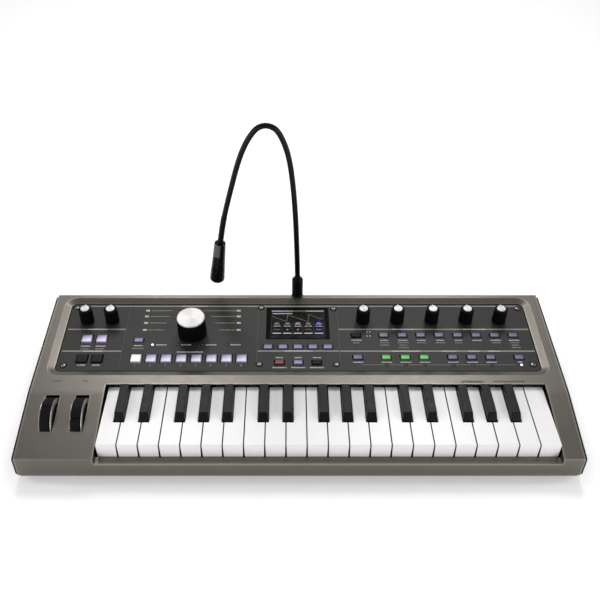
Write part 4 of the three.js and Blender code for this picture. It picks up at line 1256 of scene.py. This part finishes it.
def panel_print():
    """The print on the plate, and the words on the case behind the wheels and the keys."""
    mesh = bmesh.new()
    print_lines(mesh)
    print_words(mesh)
    add_piece("panel_print", mesh, [PRINT_PALE, PRINT_GREY, PRINT_FAINT], "case")
    cheek = bmesh.new()
    draw = random.Random(11)
    lean = Matrix.Rotation(PANEL_SLOPE, 4, "X")
    depth = 91.5
    for node, length in (("pitch_wheel", 9), ("mod_wheel", 6)):
        place = frame_place(wheel_x(node), depth, roof_z(depth)) @ lean
        word(cheek, 0, 0, length, 1.3, 0, draw, 0.01, 0.07, place)
    depth = 90.5
    place = frame_place(0, depth, roof_z(depth)) @ lean
    word(cheek, 180, 0, 22, 3.0, 0, draw, 0.01, 0.07, place)
    word(cheek, 218, 0.3, 32, 1.9, 0, draw, 0.01, 0.07, place)
    add_piece("case_print", cheek, [PRINT_DARK], "case")


def lamps():
    """Small domed lamps; the unlit ones sit in dark bezels."""
    mesh = bmesh.new()
    lit, unlit, bezel = range(3)
    lens = plain([(1.3, 0.02), (1.3, 0.18), (1.05, 0.42), (0.6, 0.58), (0.15, 0.62)])
    for x, s in LIT_LAMPS:
        turned(mesh, lens, 20, lit, on_panel(x, s))
    for x, s in DARK_LAMPS:
        place = on_panel(x, s)
        tube_ring(mesh, 1.0, 1.9, 0.02, 0.3, 24, bezel, place)
        turned(mesh, plain([(0.9, 0.02), (0.9, 0.1), (0.6, 0.3), (0.15, 0.36)]), 16, unlit, place)
    add_piece("panel_lamps", mesh, [LAMP_WHITE, LAMP_OFF, BEZEL_AND_SHADE_BLACK], "case")


def screws():
    """Cross-head screws that hold the plate, each in a dark ring of painted shade."""
    dome = plain([(2.5, 0.02), (2.75, 0.25), (2.6, 0.7), (2.1, 1.05), (1.3, 1.25), (0.4, 1.3)])
    for i, (x, s) in enumerate(SCREW_PLACES):
        place = on_panel(x, s) @ Matrix.Rotation(0.5 + 0.8 * i, 4, "Z")
        head = solid(turned, dome, 32, matrix=place)
        cross = bmesh.new()
        cuboid(cross, -1.5, 1.5, -0.3, 0.3, 0.55, 2, matrix=place)
        cuboid(cross, -0.3, 0.3, -1.5, 1.5, 0.55, 2, matrix=place)
        mesh = carve(head, [("DIFFERENCE", cross)])
        # A flat black ring round the head stands for the shade in its countersink.
        tube_ring(mesh, 2.85, 3.9, 0.02, 0.2, 32, 1, place)
        add_piece(f"panel_screw_{i + 1}", mesh, [SCREW_STEEL, BEZEL_AND_SHADE_BLACK], "case")


# ---------------------------------------------------------------- rear


def tube_ring(mesh, inner, outer, z0, z1, sides, material, matrix, ripple=0.0, count=0):
    """A flat washer or nut with a rounded outer edge."""
    soft = min(0.3, (z1 - z0) / 3)
    section = [
        (inner, z0), (outer, z0), (outer, z1 - soft), (outer - soft, z1), (inner + soft / 2, z1),
        (inner, z1 - soft / 2),
    ]
    rings = []
    for k in range(sides):
        turn = 2 * math.pi * k / sides
        dip = ripple * max(0.0, math.cos(count * turn))
        dipped = [(r - dip if r > inner + soft else r, z) for r, z in section]
        rings.append([(r * math.cos(turn), r * math.sin(turn), z) for r, z in dipped])
    ring_band(mesh, rings, material, matrix)


def sockets():
    """Nuts, washers and shells round the sockets in the rear face."""
    reach = {"phone": 2.2, "mini": 1.2}
    for kind in ("phone", "mini"):
        for i, x in enumerate(SOCKETS[kind]):
            mesh = bmesh.new()
            barrel = SOCKET_BARREL[kind]
            place = facing_rear(x, SOCKET_Z)
            tube_ring(mesh, barrel + 0.15, barrel + 2.6, 0.02, 0.5, 64, 0, place)
            tube_ring(mesh, barrel + 0.12, barrel + 1.9, 0.5, reach[kind], 96, 0, place, 0.25, 24)
            add_piece(f"{kind}_socket_nut_{i + 1}", mesh, [SOCKET_METAL], "case")
    for i, x in enumerate(SOCKETS["din"]):
        mesh = bmesh.new()
        place = facing_rear(x, SOCKET_Z)
        tube_ring(mesh, 8.75, 10.2, 0.02, 0.7, 64, 0, place)
        for k in range(5):
            turn = math.radians(45 * k)
            pin = place @ Matrix.Translation((4.2 * math.cos(turn), 4.2 * math.sin(turn), -0.68))
            turned(mesh, plain([(0.55, 0), (0.55, 0.45), (0.4, 0.6), (0.1, 0.62)]), 12, 1, pin)
        add_piece(f"din_socket_ring_{i + 1}", mesh, [SOCKET_BLACK, SOCKET_METAL], "case")
    mesh = solid(tube_ring, 5.75, 7, 0.02, 0.6, 48, 0, facing_rear(SOCKETS["power"][0], SOCKET_Z))
    add_piece("power_socket_ring", mesh, [SOCKET_BLACK], "case")
    rear_print = bmesh.new()
    draw = random.Random(5)
    upright = Matrix.Rotation(math.pi, 4, "Z") @ Matrix.Rotation(math.pi / 2, 4, "X")
    rear_face = frame_place(0, CASE_DEPTH) @ upright
    for places in SOCKETS.values():
        for x in places:
            word(rear_print, -x, SOCKET_Z + 13, 12, 1.5, 0, draw, 0.01, 0.07, rear_face)
    word(rear_print, -USB_X, SOCKET_Z + 13, 7, 1.5, 0, draw, 0.01, 0.07, rear_face)
    add_piece("rear_print", rear_print, [PRINT_DARK], "case")


# ---------------------------------------------------------------- microphone


def neck_line(count=420):
    """Evenly spaced points along a smooth curve through NECK_POINTS."""
    knots = [Vector((x, 0, z)) for x, z in NECK_POINTS]
    padded = [2 * knots[0] - knots[1], *knots, 2 * knots[-1] - knots[-2]]
    fine = []
    for a, b, c, d in zip(padded, padded[1:], padded[2:], padded[3:]):
        for k in range(40):
            t = k / 40
            fine.append(0.5 * (
                2 * b + (c - a) * t + (2 * a - 5 * b + 4 * c - d) * t * t + (3 * b - a - 3 * c + d) * t ** 3
            ))
    fine.append(knots[-1])
    lengths = [0.0]
    for p, q in zip(fine, fine[1:]):
        lengths.append(lengths[-1] + (q - p).length)
    points, at = [], 0
    for k in range(count + 1):
        goal = lengths[-1] * k / count
        while at < len(fine) - 2 and lengths[at + 1] < goal:
            at += 1
        share = (goal - lengths[at]) / (lengths[at + 1] - lengths[at])
        points.append(fine[at].lerp(fine[at + 1], share))
    return points


def neck_tube(points, radius_at, sides=20):
    """A tube round a line in the XZ plane through the microphone."""
    rings = []
    for i, point in enumerate(points):
        along = (points[min(i + 1, len(points) - 1)] - points[max(i - 1, 0)]).normalized()
        side = Vector((along.z, 0, -along.x))
        radius = radius_at(i)
        centre = point + Vector((0, y_at(MIC_DEPTH), 0))
        rings.append([
            centre + across * side + Vector((0, away, 0)) for across, away in circle(radius, sides)
        ])
    return solid(loft, rings)


def gooseneck():
    """The flexible neck: a smooth sheath at the foot, and a fine winding above it, over the arch."""
    line = neck_line()
    first_high = next(i for i, point in enumerate(line) if point.z > NECK_SEAM_Z)
    lower = neck_tube(line[:first_high + 1], lambda i: NECK_RADIUS - 0.04 + 0.04 * math.cos(math.pi * i))
    sheath = add_piece("gooseneck_sheath", lower, [NECK_LOWER], None, ["gooseneck_lower"])
    upper_line = []
    for a, b in zip(line[first_high:], line[first_high + 1:]):
        upper_line += [a, a.lerp(b, 0.5)]
    upper_line.append(line[-1])
    step = (upper_line[1] - upper_line[0]).length
    sleeve_start = len(upper_line) - round(SLEEVE_LENGTH / step)

    def winding_radius(i):
        return NECK_RADIUS + (SLEEVE_EXTRA if i > sleeve_start else 0) + (0.0, -0.05, -0.14, -0.05)[i % 4]

    upper = neck_tube(upper_line, winding_radius)
    winding = add_piece("gooseneck_winding", upper, [NECK_UPPER], None, ["gooseneck_upper"])
    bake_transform(sheath)
    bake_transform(winding)


def mic_plug():
    """The plug housing, a stack of turned steps on the boss, with the neck's strain relief above."""
    profile = [
        (2.4, 43), (3, 43.8), (3, 56.9), (4.2, 57), (4.2, 58.3), (5.9, 58.4), (6.2, 58.8), (6.2, 61.2),
        (6.05, 61.5), (6.05, 61.9), (6.2, 62.2), (6.2, 80.1), (6.0, 80.7), (4.0, 82.6), (3.6, 82.9),
        (3.5, 84.6), (3.15, 85.2), (3.05, 85.3),
    ]
    mesh = solid(turned, plain(profile), 48, matrix=frame_place(0, MIC_DEPTH))
    add_piece("mic_plug_body", mesh, [PLUG_BLACK], "mic_plug", ["mic_plug"])


def head_radius(z):
    """Radius of the tapered capsule at a height below its top."""
    return HEAD_TOP_RADIUS + (HEAD_RADIUS - HEAD_TOP_RADIUS) * min(1, -z / (HEAD_LENGTH - 4))


def mic_head():
    """The capsule: a tapered body with a band of sound holes, a domed end and a pale plate above."""
    top = Vector((HEAD_TOP[0], y_at(MIC_DEPTH), HEAD_TOP[1]))
    place = Matrix.Translation(top) @ Matrix.Rotation(math.radians(HEAD_TILT), 4, "Y")
    profile = [(3.3, -0.1), (HEAD_TOP_RADIUS - 0.5, -0.1), (HEAD_TOP_RADIUS, -0.6)]
    profile += [(head_radius(z), z) for z in (-8, -16, -22)]
    for z, width in ((-25.5, 0.5), (-30.5, 0.9), (-42.5, 0.9), (-45.6, 0.5), (-47.6, 0.5)):
        bed = head_radius(z) - 0.55
        above, below = z + width / 2, z - width / 2
        profile += [
            (head_radius(above), above), (bed, above - 0.06),
            (bed, below + 0.06), (head_radius(below), below),
        ]
    profile += [
        (HEAD_RADIUS, -HEAD_LENGTH + 4), (HEAD_RADIUS - 0.5, -HEAD_LENGTH + 2.4), (6.6, -HEAD_LENGTH + 1.3),
        (4.2, -HEAD_LENGTH + 0.5), (1.4, -HEAD_LENGTH + 0.1),
    ]
    body = solid(turned, plain(profile), 64, matrix=place)
    holes = bmesh.new()
    for line, z in enumerate((-34.2, -38.8)):
        for k in range(10):
            turn = Matrix.Rotation(2 * math.pi * (k + 0.5 * line) / 10, 4, "Z")
            outwards = place @ turn @ Matrix.Translation((0, 0, z)) @ Matrix.Rotation(math.pi / 2, 4, "Y")
            slab(holes, circle(1.5, 20), (5.6, 11), matrix=outwards)
    mesh = carve(body, [("DIFFERENCE", holes)])
    inverse = place.inverted()
    for face in mesh.faces:
        centre = inverse @ face.calc_center_median()
        if -50 < centre.z < -24 and math.hypot(centre.x, centre.y) < head_radius(centre.z) - 0.4:
            face.material_index = 1
    add_piece("mic_capsule", mesh, [MIC_BLACK, MIC_HOLES], "mic_arm", ["mic_head"])
    mic_plate(place)


def mic_plate(place):
    """A thin curved sheet on the capsule, which faces the player's left."""
    top, end, thickness = -0.8, -16.6, 0.3
    arc = [math.radians(-172 + 88 * k / 16) for k in range(17)]
    rings = []
    for z, lift in ((end, 0.04), (end + 0.3, 0.16), (top - 0.3, 0.16), (top, 0.04)):
        outer, inner = head_radius(z) + lift, head_radius(z) - thickness
        ring = [(outer * math.cos(a), outer * math.sin(a), z) for a in arc]
        ring += [(inner * math.cos(a), inner * math.sin(a), z) for a in reversed(arc)]
        rings.append(ring)
    add_piece("mic_capsule_plate", solid(loft, rings, matrix=place), [MIC_PLATE], "mic_arm")


# ---------------------------------------------------------------- scene


def camera():
    """A camera in front of the keys and above them, where a seated player's eyes are."""
    data = bpy.data.cameras.new("camera")
    data.lens = 47.77
    data.sensor_width = 36
    data.shift_x = 0.0205
    eye = bpy.data.objects.new("camera", data)
    eye.location = (-0.01112, -0.60867, 0.63551)
    eye.rotation_euler = (math.radians(50.67), 0, 0)
    bpy.context.scene.collection.objects.link(eye)
    bpy.context.scene.camera = eye


def area_light(name, place, target, size, power):
    data = bpy.data.lights.new(name, "AREA")
    data.shape = "RECTANGLE"
    data.size, data.size_y = size
    data.energy = power
    light = bpy.data.objects.new(name, data)
    light.location = place
    light.rotation_euler = (Vector(target) - Vector(place)).to_track_quat("-Z", "Y").to_euler()
    bpy.context.scene.collection.objects.link(light)


def studio():
    """Soft lamps round the instrument, over a white floor."""
    scene = bpy.context.scene
    scene.view_settings.view_transform = "Standard"
    world = bpy.data.worlds.new("studio")
    world.use_nodes = True
    world.node_tree.nodes["Background"].inputs["Color"].default_value = (1, 1, 1, 1)
    world.node_tree.nodes["Background"].inputs["Strength"].default_value = 0.27
    scene.world = world
    target = (0, 0, 0.05)
    for side, sign in (("left", -1), ("right", 1)):
        area_light(f"softbox_rear_{side}", (0.36 * sign, 0.97, 1.38), target, (0.34, 0.6), 6)
        area_light(f"softbox_front_{side}", (0.8 * sign, -0.8, 0.42), target, (0.5, 0.4), 3.8)
        area_light(f"strip_{side}", (1.1 * sign, 0, 0.5), (0, 0.1, 0.15), (0.12, 0.9), 3)
    area_light("softbox_top", (0, 0.75, 1.65), target, (1.8, 0.3), 2.6)
    area_light("softbox_low_rear", (0, 1.8, 0.32), target, (2.4, 0.5), 4)
    floor_mesh = solid(cuboid, -4000, 4000, -4000, 4000, -10, 0)
    data = bpy.data.meshes.new("floor")
    bmesh.ops.recalc_face_normals(floor_mesh, faces=floor_mesh.faces)
    bmesh.ops.scale(floor_mesh, vec=(MM, MM, MM), verts=floor_mesh.verts)
    floor_mesh.to_mesh(data)
    floor_mesh.free()
    data.materials.append(finish(
        "floor_pale", (0.98, 0.98, 0.98, 1), 0.7, grain=60, grain_depth=0.02, mottle=0.01, emission=0.18,
    ))
    floor = bpy.data.objects.new("floor", data)
    scene.collection.objects.link(floor)


def dress_cad_nodes():
    """Procedural finishes for the CAD nodes that stay."""
    finishes = {
        "bottom_case": UNDERSIDE,
        "keybed_frame": KEYBED_BLACK_AND_SHADE,
        "main_board": BOARD_GREEN,
    }
    for node, material in finishes.items():
        thing = frame["nodes"][node]
        thing.data.materials.clear()
        thing.data.materials.append(material)
    # The sockets that stand at the board's rear edge are black plastic.
    board = frame["nodes"]["main_board"]
    board.data.materials.append(SOCKET_BLACK)
    for face in board.data.polygons:
        if (board.matrix_world @ face.center).y > y_at(JACK_BOARD_REAR) * MM:
            face.material_index = 1


camera()
studio()
dress_cad_nodes()
top_case()
end_caps()
feet()
keys()
wheels()
control_panel()
button_mats()
knobs()
display()
screen()
panel_print()
print_numbers()
lamps()
screws()
sockets()
gooseneck()
mic_plug()
mic_head()
